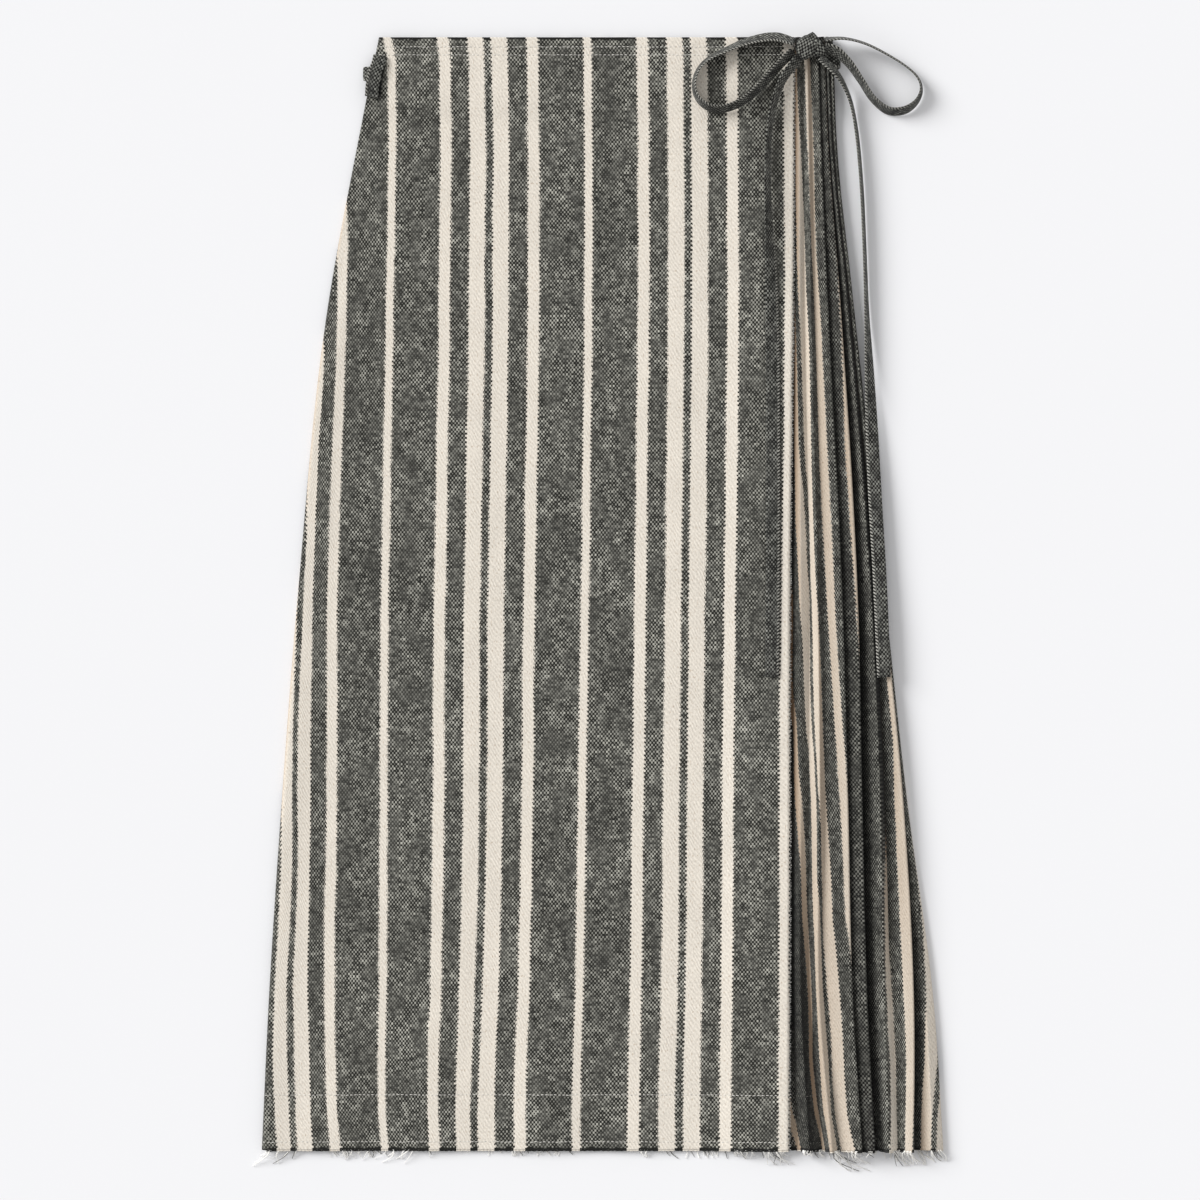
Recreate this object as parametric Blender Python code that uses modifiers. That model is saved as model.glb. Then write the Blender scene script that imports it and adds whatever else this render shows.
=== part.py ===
"""A pleated wrap skirt, tied in a bow and laid flat on its back.

The skirt lies face up on the floor (z = 0), waist towards +Y, with the overlap's raw edge and
the pleats at the right hip (+X).  Sizes are in millimetres: "across" runs along X, "up" runs
from the hem towards the waist, and "lift" is the height over the floor.  Every panel is one
wall of cloth, lofted through cross-sections from hem to waist: the line of a section runs over
the crests and under the valleys of the pleats the way a belt runs over and under pulleys.
"""

import random

import bmesh
import bpy
import numpy as np

MM = 0.001

# ---- cloth and layers --------------------------------------------------------------------
CLOTH = 1.0
GAP = 0.3
LAYER = CLOTH + GAP
BACK_LIFT = CLOTH / 2
LAP_LIFT = BACK_LIFT + LAYER
FRONT_LIFT = LAP_LIFT + LAYER
SEAM_FROM_FOLD = 36.0
LAP_FROM_FOLD = 60.0

# ---- the whole part ----------------------------------------------------------------------
SKIRT_LENGTH = 890.0
BOW_RISE = 4.0
THREAD_REACH = 18.0
HEM_Y = -(SKIRT_LENGTH + BOW_RISE - THREAD_REACH) / 2

# Heights over the hem at which the tables below give their values, from hem to waist.
STATIONS = {"hem": 0, "shin": 120, "knee": 280, "thigh": 440, "hip": 680, "yoke": 800, "waist": 890}
ROWS = (0, 30, 75, 120, 200, 280, 360, 440, 520, 600, 680, 740, 800, 822, 830, 838, 865, 890)

# Places across of the two side folds and of the overlap's raw edge, at each station.
LEFT_FOLD = (-270.8, -265.2, -254.8, -242.4, -217.2, -195.2, -177.0)
RIGHT_FOLD = (275.0, 267.0, 246.0, 228.6, 202.8, 189.0, 186.0)
FRONT_EDGE = (151.2, 151.6, 152.0, 152.0, 154.6, 155.2, 155.2)
# The origin lies midway between the side folds at the hem.
MIDDLE_ACROSS = (LEFT_FOLD[0] + RIGHT_FOLD[0]) / 2

# Half the height of the cloth's turn at each side fold.
LEFT_FOLD_RADIUS = (2.6, 2.5, 2.3, 2.0, 1.6, 1.3, 1.3)
RIGHT_FOLD_RADIUS = (2.4, 2.2, 2.0, 1.8, 1.5, 1.2, 1.2)

# One row for each pleat fold, from the overlap outwards: whether the cloth runs over it or
# under it, its radius, then its place across and its lift at each station.
OVER, UNDER = -1, 1
PLEAT_FOLDS = {
    "hidden_ridge": (
        OVER, 1.6,
        (143.0, 142.5, 142.5, 142.5, 143.5, 144.0, 144.0),
        (7.0, 6.0, 5.0, 4.5, 4.0, 3.4, 3.0),
    ),
    "first_valley": (
        UNDER, 0.9,
        (157.6, 154.6, 154.4, 154.2, 154.2, 154.2, 154.0),
        (3.0, 2.6, 2.4, 2.2, 2.0, 1.9, 1.9),
    ),
    "first_crest": (
        OVER, 1.2,
        (167.2, 160.4, 160.4, 160.4, 159.4, 159.2, 158.6),
        (12.0, 10.0, 8.0, 7.5, 6.0, 5.0, 4.5),
    ),
    "second_valley": (
        UNDER, 0.9,
        (178.0, 168.4, 167.2, 167.6, 163.6, 163.0, 161.8),
        (4.5, 4.0, 4.0, 3.5, 3.0, 2.6, 2.4),
    ),
    "second_crest": (
        OVER, 1.0,
        (185.0, 174.8, 175.4, 173.8, 168.4, 166.8, 165.0),
        (14.0, 11.5, 10.0, 9.0, 7.0, 5.5, 5.0),
    ),
    "third_valley": (
        UNDER, 0.9,
        (191.6, 179.4, 180.0, 178.2, 171.8, 169.8, 167.8),
        (7.0, 7.0, 6.0, 5.0, 4.0, 3.0, 2.6),
    ),
    "third_crest": (
        OVER, 0.9,
        (208.0, 200.6, 196.8, 192.4, 180.8, 175.8, 173.0),
        (14.5, 12.5, 11.5, 10.5, 8.5, 7.0, 6.2),
    ),
    "third_tuck": (
        UNDER, 0.8,
        (196.5, 192.0, 190.6, 187.4, 177.6, 174.0, 171.8),
        (3.0, 2.6, 2.6, 2.5, 2.3, 1.9, 1.9),
    ),
    "fourth_crest": (
        OVER, 0.9,
        (218.0, 212.0, 208.0, 204.6, 190.6, 181.6, 177.8),
        (15.0, 13.0, 12.0, 11.0, 9.0, 7.0, 6.2),
    ),
    "fourth_tuck": (
        UNDER, 0.8,
        (206.5, 203.4, 201.6, 199.4, 187.0, 180.0, 176.8),
        (3.0, 2.6, 2.6, 2.5, 2.3, 2.0, 2.0),
    ),
    "fifth_foot": (
        UNDER, 0.75,
        (222.0, 215.0, 210.8, 207.2, 192.8, 183.3, 179.5),
        (2.8, 2.6, 2.6, 2.5, 2.3, 2.0, 2.0),
    ),
    "fifth_crest": (
        OVER, 0.8,
        (230.8, 226.6, 223.4, 216.4, 197.0, 185.3, 181.4),
        (15.0, 13.0, 11.5, 10.0, 8.0, 6.5, 5.8),
    ),
    "fifth_valley": (
        UNDER, 0.75,
        (238.4, 232.6, 228.0, 220.4, 199.2, 187.0, 183.1),
        (7.0, 5.5, 4.8, 4.6, 4.6, 4.4, 4.2),
    ),
    "last_crest": (
        OVER, 0.8,
        (249.4, 249.4, 241.0, 225.4, 201.2, 188.6, 184.8),
        (13.0, 11.5, 10.0, 8.5, 7.0, 6.0, 5.6),
    ),
}
# Where the pleated panel ends, tucked under its last crest, and where the back panel begins.
LAST_TUCK = (
    (245.0, 246.0, 238.5, 224.6, 201.6, 189.5, 185.7),
    (6.5, 6.0, 5.6, 5.8, 5.4, 4.9, 4.5),
)
BACK_START = (
    (245.0, 246.0, 236.0, 220.5, 198.2, 185.2, 182.0),
    (2.2, 2.2, 2.2, 2.2, 2.1, 2.0, 2.0),
)
# The back panel's own ridge, between the last pleat and the right fold.
SIDE_RIDGE = (
    (266.0, 260.0, 242.0, 224.6, 200.0, 186.4, 183.2),
    (8.5, 7.0, 5.0, 4.0, 3.3, 2.9, 2.9),
)
SIDE_RIDGE_RADIUS = 1.0

# The overlap rises to its raw edge over the hidden ridge, and a little at the left fold.
FRONT_RISE_START = 56.0
FRONT_RISE_WIDTH = 44.0
FOLD_RISE_WIDTH = 28.0
RIPPLE_LIFT = 1.2
RIPPLE_TOP = 330.0
RIPPLE_LENGTH = 88.0

# ---- ties --------------------------------------------------------------------------------
TAPE_WIDTH = 11.0
TAPE_THICKNESS = 1.6
LOOP_WIDTH = 11.0
LOOP_THICKNESS = 1.2
# How finely and how far to each side the cloth under a tape is felt.
TOP_STEPS = 8
TOP_REACH = 1.4
# Near the waist all layers lie on the tie that runs behind the back.
TIE_ROOM = TAPE_THICKNESS + GAP
TIE_ROOM_START = 822.0
TIE_ROOM_FULL = 838.0

KNOT_CENTRE = (166.8, 880.8, 14.1)
KNOT_RADII = (12.0, 10.6, 6.4)
KNOT_PEAK = 2.6
KNOT_PEAK_TURN = 80.0
KNOT_PEAK_SPREAD = 24.0

# Each row of a tie: across, up, lift of its middle line, and its lean in degrees: how far the
# edge on the left of its run is raised.  Where the cloth is higher, the tie lies on the cloth.
BOW_LOOP_LEFT = (
    (155.0, 884.8, 15.2, 48),
    (140.0, 889.2, 13.4, 42),
    (121.6, 887.0, 11.6, 50),
    (100.8, 879.2, 10.6, 62),
    (84.0, 870.0, 10.6, 72),
    (76.2, 858.6, 10.8, 76),
    (75.6, 846.0, 10.8, 76),
    (81.8, 836.2, 10.6, 70),
    (93.0, 832.0, 10.4, 64),
    (106.4, 834.4, 10.4, 62),
    (120.0, 842.4, 10.6, 60),
    (133.0, 855.4, 12.0, 58),
    (144.4, 868.0, 14.0, 56),
    (154.0, 877.2, 15.6, 52),
)
BOW_LOOP_RIGHT = (
    (179.2, 880.0, 15.6, 52),
    (188.4, 876.8, 16.2, 54),
    (199.0, 867.4, 13.4, 64),
    (208.6, 854.6, 9.4, 70),
    (218.4, 840.6, 6.4, 70),
    (230.6, 831.4, 5.8, 64),
    (243.6, 831.8, 5.6, 62),
    (253.0, 838.4, 5.8, 70),
    (257.0, 848.4, 6.2, 76),
    (253.6, 858.4, 6.2, 78),
    (243.2, 867.8, 6.6, 78),
    (226.4, 877.6, 8.6, 76),
    (210.2, 884.6, 11.6, 74),
    (194.0, 887.6, 15.2, 72),
    (179.0, 886.6, 16.0, 66),
)
TIE_TAIL_LEFT = (
    (158.4, 872.0, 14.4, -48),
    (149.2, 860.6, 12.6, -54),
    (142.8, 848.6, 11.4, -58),
    (138.0, 832.0, 11.0, -60),
    (134.6, 806.0, 9.6, -62),
    (134.0, 770.0, 9.4, -60),
    (135.4, 730.0, 8.2, -46),
    (137.2, 680.0, 6.2, -18),
    (138.2, 620.0, 5.6, -4),
    (138.4, 540.0, 5.6, 0),
    (138.2, 460.0, 5.6, 0),
    (137.6, 378.4, 5.6, 0),
)
TIE_TAIL_RIGHT = (
    (175.6, 872.4, 16.8, -48),
    (188.2, 860.0, 15.2, -56),
    (195.4, 849.6, 11.4, -66),
    (201.6, 834.0, 7.2, -72),
    (206.0, 808.0, 6.0, -72),
    (209.4, 768.0, 6.0, -72),
    (211.6, 720.0, 6.0, -72),
    (213.4, 668.0, 6.4, -66),
    (215.4, 620.0, 7.4, -44),
    (217.2, 576.0, 8.4, -22),
    (219.8, 520.0, 9.4, -6),
    (223.2, 460.0, 10.0, 0),
    (226.6, 378.4, 11.0, 0),
)
# The inner tie: out of the slit at the left hip, under the keeper, round the back and up.
WAIST_TIE = (
    (-175.0, 857.0, 7.1, 0),
    (-181.0, 857.0, 7.1, 0),
    (-186.6, 857.0, 6.2, 0),
    (-188.9, 857.1, 3.9, 0),
    (-186.6, 857.2, 1.6, 0),
    (-180.0, 857.4, 0.8, 0),
    (-120.0, 859.4, 0.8, 0),
    (0.0, 863.6, 0.8, 0),
    (120.0, 867.8, 0.8, 0),
    (184.0, 870.0, 0.8, 0),
    (189.6, 870.4, 2.2, 0),
    (191.6, 870.6, 5.2, 0),
    (189.6, 870.8, 8.3, 0),
    (185.0, 871.0, 9.4, 0),
    (180.0, 871.0, 9.9, 0),
)
BELT_LOOP = (
    (-174.6, 875.2, 6.9, 0),
    (-176.0, 868.6, 8.6, 0),
    (-178.2, 858.6, 9.0, 0),
    (-180.2, 848.8, 8.6, 0),
    (-181.6, 842.0, 6.9, 0),
)

# ---- the raw hem -------------------------------------------------------------------------
STRIP_LENGTH = 1.0
STRIP_THICKNESS = 0.8
THREAD_WIDTH = 0.7
THREAD_TIP = 0.55
THREAD_STEPS = 3
THREAD_DROP = 0.9
FLOOR_CLEARANCE = 0.45
# Each row of loose threads: from and to across, how many, their reach, and how far they lean
# to the right for each millimetre that they reach.
FRONT_THREADS = (
    (-267.5, -258.0, 6, 9.0, 0.1),
    (-254.0, -238.0, 7, 8.0, 0.4),
    (-208.0, -196.0, 4, 7.0, -0.3),
    (-178.0, -160.0, 5, 9.0, 0.3),
    (-148.0, -134.0, 4, 8.0, -0.2),
    (-72.0, -58.0, 3, 5.0, 0.2),
    (28.0, 42.0, 4, 6.0, 0.1),
    (112.0, 148.0, 14, 12.0, 0.5),
)
PLEAT_THREADS = (
    (161.0, 174.0, 7, 7.0, 0.3),
    (184.0, 190.0, 4, THREAD_REACH, 0.9),
    (203.0, 207.0, 3, 9.0, 0.6),
    (214.0, 217.0, 3, 6.0, 0.2),
    (226.0, 230.0, 3, 8.0, 0.9),
    (242.0, 248.0, 4, 12.0, 0.6),
)
BACK_THREADS = (
    (-220.0, -170.0, 6, 7.0, 0.3),
    (-90.0, -20.0, 7, 6.0, -0.2),
    (50.0, 110.0, 6, 8.0, 0.3),
    (170.0, 262.0, 12, 9.0, 0.2),
)
SEED = 11

# ---- colours -----------------------------------------------------------------------------
CHARCOAL = (0.115, 0.115, 0.098)
CHARCOAL_DARK = (0.075, 0.076, 0.066)
IVORY = (0.70, 0.63, 0.54)
CLOTH_ROUGHNESS = 0.85


def station_curve(values, heights):
    """A smooth curve through a table's values at the stations: cubic pieces whose slope at each
    station is that of the values around it."""
    knots = np.array(list(STATIONS.values()), float)
    values = np.array(values, float)
    slopes = np.gradient(values, knots)
    heights = np.asarray(heights, float)
    piece = np.clip(np.searchsorted(knots, heights) - 1, 0, len(knots) - 2)
    span = knots[piece + 1] - knots[piece]
    t = (heights - knots[piece]) / span
    start = values[piece] * (2 * t**3 - 3 * t**2 + 1) + slopes[piece] * span * (t**3 - 2 * t**2 + t)
    end = values[piece + 1] * (3 * t**2 - 2 * t**3) + slopes[piece + 1] * span * (t**3 - t**2)
    return start + end


def smooth_step(t):
    t = np.clip(t, 0.0, 1.0)
    return t * t * (3 - 2 * t)


def tie_room(heights):
    """How far the layers are raised near the waist by the tie behind the back."""
    heights = np.asarray(heights, float)
    return TIE_ROOM * smooth_step((heights - TIE_ROOM_START) / (TIE_ROOM_FULL - TIE_ROOM_START))


def belt_section(start, pulleys, end, arc_points):
    """Runs a line from start to end over or under each pulley, at every height at once.

    start and end are (across, lift); a pulley is (across, lift, radius, side).  Each straight
    run is the common tangent of two pulleys, turned from the line of their centres by the sine
    of the difference of their signed radii over their distance."""
    stops = [(*start, 0.0, OVER), *pulleys, (*end, 0.0, OVER)]
    runs = []
    for (x0, z0, r0, side0), (x1, z1, r1, side1) in zip(stops, stops[1:]):
        distance = np.hypot(x1 - x0, z1 - z0)
        turn = np.arcsin((side1 * r1 - side0 * r0) / distance)
        runs.append(np.arctan2(z1 - z0, x1 - x0) - turn)
    across, lift = [start[0]], [start[1]]
    for (x, z, radius, side), run_in, run_out in zip(pulleys, runs, runs[1:]):
        turn = run_out - run_in
        turn = turn - 2 * np.pi * np.round((turn - side * np.pi / 2) / (2 * np.pi))
        for part in np.linspace(0.0, 1.0, arc_points):
            run = run_in + turn * part
            across.append(x + side * radius * np.sin(run))
            lift.append(z - side * radius * np.cos(run))
    across.append(end[0])
    lift.append(end[1])
    return np.stack(across, axis=1), np.stack(lift, axis=1)


def pulley(side, radius, across, lift):
    """A pulley whose top, or bottom if the cloth runs under it, has this lift."""
    return across, lift + side * radius, radius, side


def front_lift(across, heights):
    """Lift of the overlap's middle surface: flat, raised at the left fold and at the raw edge,
    with low ripples near the hem."""
    left = station_curve(LEFT_FOLD, heights)
    radius = station_curve(LEFT_FOLD_RADIUS, heights)
    ridge = PLEAT_FOLDS["hidden_ridge"]
    ridge_across = station_curve(ridge[2], heights)
    edge_rise = station_curve(ridge[3], heights) + LAYER - FRONT_LIFT
    fold_rise = BACK_LIFT + 2 * radius - FRONT_LIFT
    at_fold = 1 - smooth_step((across - left - radius - CLOTH / 2) / FOLD_RISE_WIDTH)
    at_edge = smooth_step((across - ridge_across + FRONT_RISE_START) / FRONT_RISE_WIDTH)
    wave = 0.5 - 0.5 * np.cos(2 * np.pi * (across - left) / RIPPLE_LENGTH)
    fade = (1 - smooth_step(heights / RIPPLE_TOP)) * (1 - at_fold) * (1 - at_edge)
    rise = fold_rise * at_fold + edge_rise * at_edge + RIPPLE_LIFT * wave * fade
    return FRONT_LIFT + rise + tie_room(heights)


def front_section(heights, arc_points, flat_points):
    """Under the left side from the seam, round the left fold, then across to the raw edge."""
    left = station_curve(LEFT_FOLD, heights)
    radius = station_curve(LEFT_FOLD_RADIUS, heights)
    edge = station_curve(FRONT_EDGE, heights)
    room = tie_room(heights)
    centre = left + CLOTH / 2 + radius
    fold = (centre, BACK_LIFT + radius + room, radius, OVER)
    seam = (left + SEAM_FROM_FOLD, BACK_LIFT + room)
    top_start = (centre + 1.0, front_lift(centre + 1.0, heights))
    across, lift = belt_section(seam, [fold], top_start, arc_points)
    parts = np.linspace(0.0, 1.0, flat_points)[1:]
    top_across = top_start[0][:, None] * (1 - parts) + edge[:, None] * parts
    top_lift = front_lift(top_across, heights[:, None] + 0 * top_across)
    return np.hstack([across, top_across]), np.hstack([lift, top_lift])


def pleated_section(heights, arc_points):
    """From the underlap's hidden end, over and under every pleat, to the side seam's tuck."""
    room = tie_room(heights)
    pulleys = []
    for side, radius, across, lift in PLEAT_FOLDS.values():
        place = station_curve(across, heights)
        pulleys.append(pulley(side, radius, place, station_curve(lift, heights) + room))
    lap_end = pulley(UNDER, 3.0, pulleys[0][0] - 14.0, LAP_LIFT + room)
    start = (station_curve(LEFT_FOLD, heights) + LAP_FROM_FOLD, LAP_LIFT + room)
    end = (station_curve(LAST_TUCK[0], heights), station_curve(LAST_TUCK[1], heights) + room)
    return belt_section(start, [lap_end, *pulleys], end, arc_points)


def back_section(heights, arc_points):
    """From the side seam under the last pleat, over the side ridge, round the right fold and
    flat along the floor to the seam near the left fold."""
    room = tie_room(heights)
    radius = station_curve(RIGHT_FOLD_RADIUS, heights)
    right = station_curve(RIGHT_FOLD, heights)
    ridge_across = station_curve(SIDE_RIDGE[0], heights)
    ridge_lift = station_curve(SIDE_RIDGE[1], heights) + room
    start = (station_curve(BACK_START[0], heights), station_curve(BACK_START[1], heights) + room)
    ridge = pulley(OVER, SIDE_RIDGE_RADIUS, ridge_across, ridge_lift)
    fold = (right - CLOTH / 2 - radius, BACK_LIFT + radius + room, radius, OVER)
    seam = station_curve(LEFT_FOLD, heights) + SEAM_FROM_FOLD + GAP
    return belt_section(start, [ridge, fold], (seam, BACK_LIFT + room), arc_points)


def cloth_top(across, up):
    """Lift of the highest cloth round each place, from the sections of all three panels."""
    sections = (front_section(up, 5, 24), pleated_section(up, 4), back_section(up, 5))
    parts = np.linspace(0.0, 1.0, TOP_STEPS, endpoint=False)
    top = np.zeros(len(up))
    for x, z in sections:
        fine_x = x[:, :-1, None] + np.diff(x, axis=1)[..., None] * parts
        fine_z = z[:, :-1, None] + np.diff(z, axis=1)[..., None] * parts
        near = np.abs(fine_x - across[:, None, None]) < TOP_REACH
        top = np.maximum(top, np.where(near, fine_z + CLOTH / 2, 0.0).max(axis=(1, 2)))
    return top


def tape_rest(middle, side, lean, size):
    """The lowest lift of a tape's middle line at which its whole width clears the cloth."""
    width, thickness = size
    rest = np.zeros(len(middle))
    for part in np.linspace(-0.5, 0.5, 7):
        offset = side * (part * width * np.cos(lean))
        top = cloth_top(middle[:, 0] + offset[:, 0], middle[:, 1] + offset[:, 1])
        under = part * width * np.sin(lean[:, 0]) - thickness / 2
        rest = np.maximum(rest, top + GAP - under)
    return rest


def cloth_material(name, colour):
    material = bpy.data.materials.new(name)
    material.use_nodes = True
    shader = material.node_tree.nodes["Principled BSDF"]
    shader.inputs["Base Color"].default_value = (*colour, 1.0)
    shader.inputs["Roughness"].default_value = CLOTH_ROUGHNESS
    shader.inputs["Metallic"].default_value = 0.0
    return material


def place(across, up, lift):
    """Points in metres, about the origin, from places on the skirt in millimetres."""
    points = np.stack([across - MIDDLE_ACROSS, up + HEM_Y, lift], axis=-1) * MM
    return points.reshape(-1, 3)


def sheet(name, points, shape, thickness, colour, collection):
    """A wall of cloth: a grid of points as an open surface, thickened both ways."""
    rows, columns = shape
    index = np.arange(rows * columns).reshape(shape)
    corners = (index[:-1, :-1], index[:-1, 1:], index[1:, 1:], index[1:, :-1])
    faces = np.stack(corners, axis=-1).reshape(-1, 4)
    mesh = bpy.data.meshes.new(name)
    mesh.from_pydata(points.tolist(), [], faces.tolist())
    mesh.shade_smooth()
    mesh.materials.append(cloth_material(f"{name}_cloth", colour))
    cloth = bpy.data.objects.new(name, mesh)
    wall = cloth.modifiers.new("wall", "SOLIDIFY")
    wall.thickness = thickness * MM
    wall.offset = 0.0
    wall.use_even_offset = True
    collection.objects.link(cloth)
    return cloth


def panel(name, section, heights, colour, collection):
    across, lift = section
    up = np.broadcast_to(heights[:, None], across.shape)
    return sheet(name, place(across, up, lift), across.shape, CLOTH, colour, collection)


def smooth_path(rows, steps):
    """A Catmull-Rom curve through a tie's rows, with this many steps from each to the next."""
    rows = np.array(rows, float)
    padded = np.vstack([2 * rows[0] - rows[1], rows, 2 * rows[-1] - rows[-2]])
    points = []
    for before, here, there, after in zip(padded, padded[1:], padded[2:], padded[3:]):
        for t in np.linspace(0.0, 1.0, steps, endpoint=False):
            slope_here, slope_there = (there - before) / 2, (after - here) / 2
            start = here * (2 * t**3 - 3 * t**2 + 1) + slope_here * (t**3 - 2 * t**2 + t)
            points.append(start + there * (3 * t**2 - 2 * t**3) + slope_there * (t**3 - t**2))
    points.append(rows[-1])
    return np.array(points)


def tape(name, rows, size, colour, collection, steps=3, fixed_side=None):
    """A flat strip along its rows.  Its width lies along the side of its run, leaned up, and it
    is raised where it would dip into the cloth, unless its side is fixed."""
    width, thickness = size
    path = smooth_path(rows, steps)
    middle, lean = path[:, :3], np.radians(path[:, 3])[:, None]
    run = np.gradient(middle, axis=0)
    run /= np.linalg.norm(run, axis=1, keepdims=True)
    if fixed_side is None:
        side = np.cross((0.0, 0.0, 1.0), run)
        side /= np.linalg.norm(side, axis=1, keepdims=True)
        middle[:, 2] = np.maximum(middle[:, 2], tape_rest(middle, side, lean, size))
    else:
        side = np.broadcast_to(np.array(fixed_side, float), run.shape)
        middle[:, 2] = np.maximum(middle[:, 2], thickness / 2)
    leaned = np.cos(lean) * side + np.sin(lean) * np.cross(run, side)
    edges = np.stack([middle - leaned * width / 2, middle + leaned * width / 2], axis=1)
    points = place(edges[..., 0], edges[..., 1], edges[..., 2])
    return sheet(name, points, (len(path), 2), thickness, colour, collection)


def knot(name, colour, collection):
    """A ball of wound tape, flattened, with a folded peak that stands over the waist edge."""
    bpy.ops.mesh.primitive_uv_sphere_add(segments=20, ring_count=10, radius=1.0)
    ball = bpy.context.object
    ball.name = ball.data.name = name
    points = np.empty(len(ball.data.vertices) * 3)
    ball.data.vertices.foreach_get("co", points)
    points = points.reshape(-1, 3)
    turn = np.degrees(np.arctan2(points[:, 1], points[:, 0])) - KNOT_PEAK_TURN
    level = np.hypot(points[:, 0], points[:, 1])
    peak = KNOT_PEAK * np.exp(-((turn / KNOT_PEAK_SPREAD) ** 2)) * level**3
    points = points * KNOT_RADII
    points[:, 1] += peak
    points += KNOT_CENTRE
    ball.data.vertices.foreach_set("co", place(*points.T).ravel())
    ball.data.shade_smooth()
    ball.data.materials.append(cloth_material(f"{name}_cloth", colour))
    for holder in list(ball.users_collection):
        holder.objects.unlink(ball)
    collection.objects.link(ball)
    return ball


def thread_stops(line, thread_rows):
    """Where each loose thread is rooted along a hem line, with its reach and lean: threads of a
    row are spread evenly, and sit on the highest cloth at their place."""
    length, across, lift = line
    stops = []
    for start, end, count, reach, lean in thread_rows:
        for number in range(count):
            target = start + (end - start) * (number + 0.5) / count
            near = np.abs(across - target) < THREAD_WIDTH
            best = np.flatnonzero(near)[np.argmax(lift[near])]
            own_reach = reach if number == count // 2 else reach * random.uniform(0.45, 0.9)
            stops.append((length[best], own_reach, lean + random.uniform(-0.12, 0.12)))
    stops.sort()
    kept = [stops[0]]
    for stop in stops[1:]:
        if stop[0] - kept[-1][0] > 2 * THREAD_WIDTH:
            kept.append(stop)
    return kept


def hem_line(across, lift):
    """A hem's line as (length along it, across, lift), in fine steps."""
    length = np.concatenate([[0.0], np.cumsum(np.hypot(np.diff(across), np.diff(lift)))])
    fine = np.linspace(0.0, length[-1], int(length[-1] / 0.1))
    return fine, np.interp(fine, length, across), np.interp(fine, length, lift)


def grow_thread(strip, root, reach, lean):
    """Draws one face of the strip out into a thread that droops to just above the floor."""
    face = root
    start = root.calc_center_median()
    drop = min(start.z - FLOOR_CLEARANCE * MM, THREAD_DROP * reach * MM)
    for step in range(1, THREAD_STEPS + 1):
        part = step / THREAD_STEPS
        shrink = (1 - (1 - THREAD_TIP) * part) / (1 - (1 - THREAD_TIP) * (step - 1) / THREAD_STEPS)
        face = bmesh.ops.extrude_discrete_faces(strip, faces=[face])["faces"][0]
        centre = face.calc_center_median()
        target = start.copy()
        target.x += lean * reach * MM * part**1.4
        target.y -= (reach - STRIP_LENGTH - GAP) * MM * part
        target.z -= max(drop, 0.0) * part**1.5
        for vertex in face.verts:
            vertex.co = target + (vertex.co - centre) * shrink


def fray(name, line, thread_rows, colour, collection):
    """A narrow strip just outside a hem, with the loose threads drawn out of its outer side."""
    length, across, lift = line
    stops = thread_stops(line, thread_rows)
    half = THREAD_WIDTH / 2
    stations = [0.0, length[-1]]
    for middle, _, _ in stops:
        stations += [middle - half, middle + half]
    corners = np.flatnonzero(turning(across, lift))
    for corner in length[corners]:
        if min(abs(corner - station) for station in stations) > half:
            stations.append(corner)
    stations = np.sort(stations)
    x, z = np.interp(stations, length, across), np.interp(stations, length, lift)
    slope_x = np.interp(stations, length, np.gradient(across, length))
    slope_z = np.interp(stations, length, np.gradient(lift, length))
    norm = np.hypot(slope_x, slope_z)
    side_x, side_z = -slope_z / norm * STRIP_THICKNESS / 2, slope_x / norm * STRIP_THICKNESS / 2
    near, far = -GAP + 0 * x, -GAP - STRIP_LENGTH + 0 * x
    rings = np.stack(
        [
            place(x + side_x, near, z + side_z),
            place(x + side_x, far, z + side_z),
            place(x - side_x, far, z - side_z),
            place(x - side_x, near, z - side_z),
        ],
        axis=1,
    )
    strip = bmesh.new()
    verts = [[strip.verts.new(point) for point in ring] for ring in rings]
    strip.faces.new(verts[0])
    strip.faces.new(reversed(verts[-1]))
    outer = []
    for ring, following in zip(verts, verts[1:]):
        for side in range(4):
            after = (side + 1) % 4
            face = strip.faces.new((ring[after], ring[side], following[side], following[after]))
            if side == 1:
                outer.append(face)
    middles = (stations[:-1] + stations[1:]) / 2
    for middle, reach, lean in stops:
        grow_thread(strip, outer[int(np.argmin(np.abs(middles - middle)))], reach, lean)
    bmesh.ops.recalc_face_normals(strip, faces=strip.faces)
    mesh = bpy.data.meshes.new(name)
    strip.to_mesh(mesh)
    strip.free()
    mesh.materials.append(cloth_material(f"{name}_thread", colour))
    collection.objects.link(bpy.data.objects.new(name, mesh))


def turning(across, lift):
    """Marks the points of a fine line where it has turned enough to need a corner."""
    run = np.unwrap(np.arctan2(np.gradient(lift), np.gradient(across)))
    return np.diff(np.floor(run / np.radians(28.0)), prepend=0) != 0


def skirt_hems(collection):
    """The fray of the three raw hems, each along its own panel's first section."""
    hem = np.array([0.0])
    fold_points = 9
    across, lift = front_section(hem, fold_points, 40)
    on_top = slice(fold_points + 1, None)
    fray("fray_front", hem_line(across[0][on_top], lift[0][on_top]), FRONT_THREADS, IVORY, collection)
    across, lift = pleated_section(hem, 7)
    outside = slice(np.argmax(across[0] > FRONT_EDGE[0] + 4.0), None)
    fray("fray_pleats", hem_line(across[0][outside], lift[0][outside]), PLEAT_THREADS, IVORY, collection)
    start = LEFT_FOLD[0] + SEAM_FROM_FOLD + 2.0
    flat = np.array([start, RIGHT_FOLD[0] - 8.0])
    low = np.full(2, STRIP_THICKNESS / 2 + 0.2)
    fray("fray_back", hem_line(flat, low), BACK_THREADS, IVORY, collection)


def clear_scene():
    for item in list(bpy.data.objects):
        bpy.data.objects.remove(item, do_unlink=True)


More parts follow.
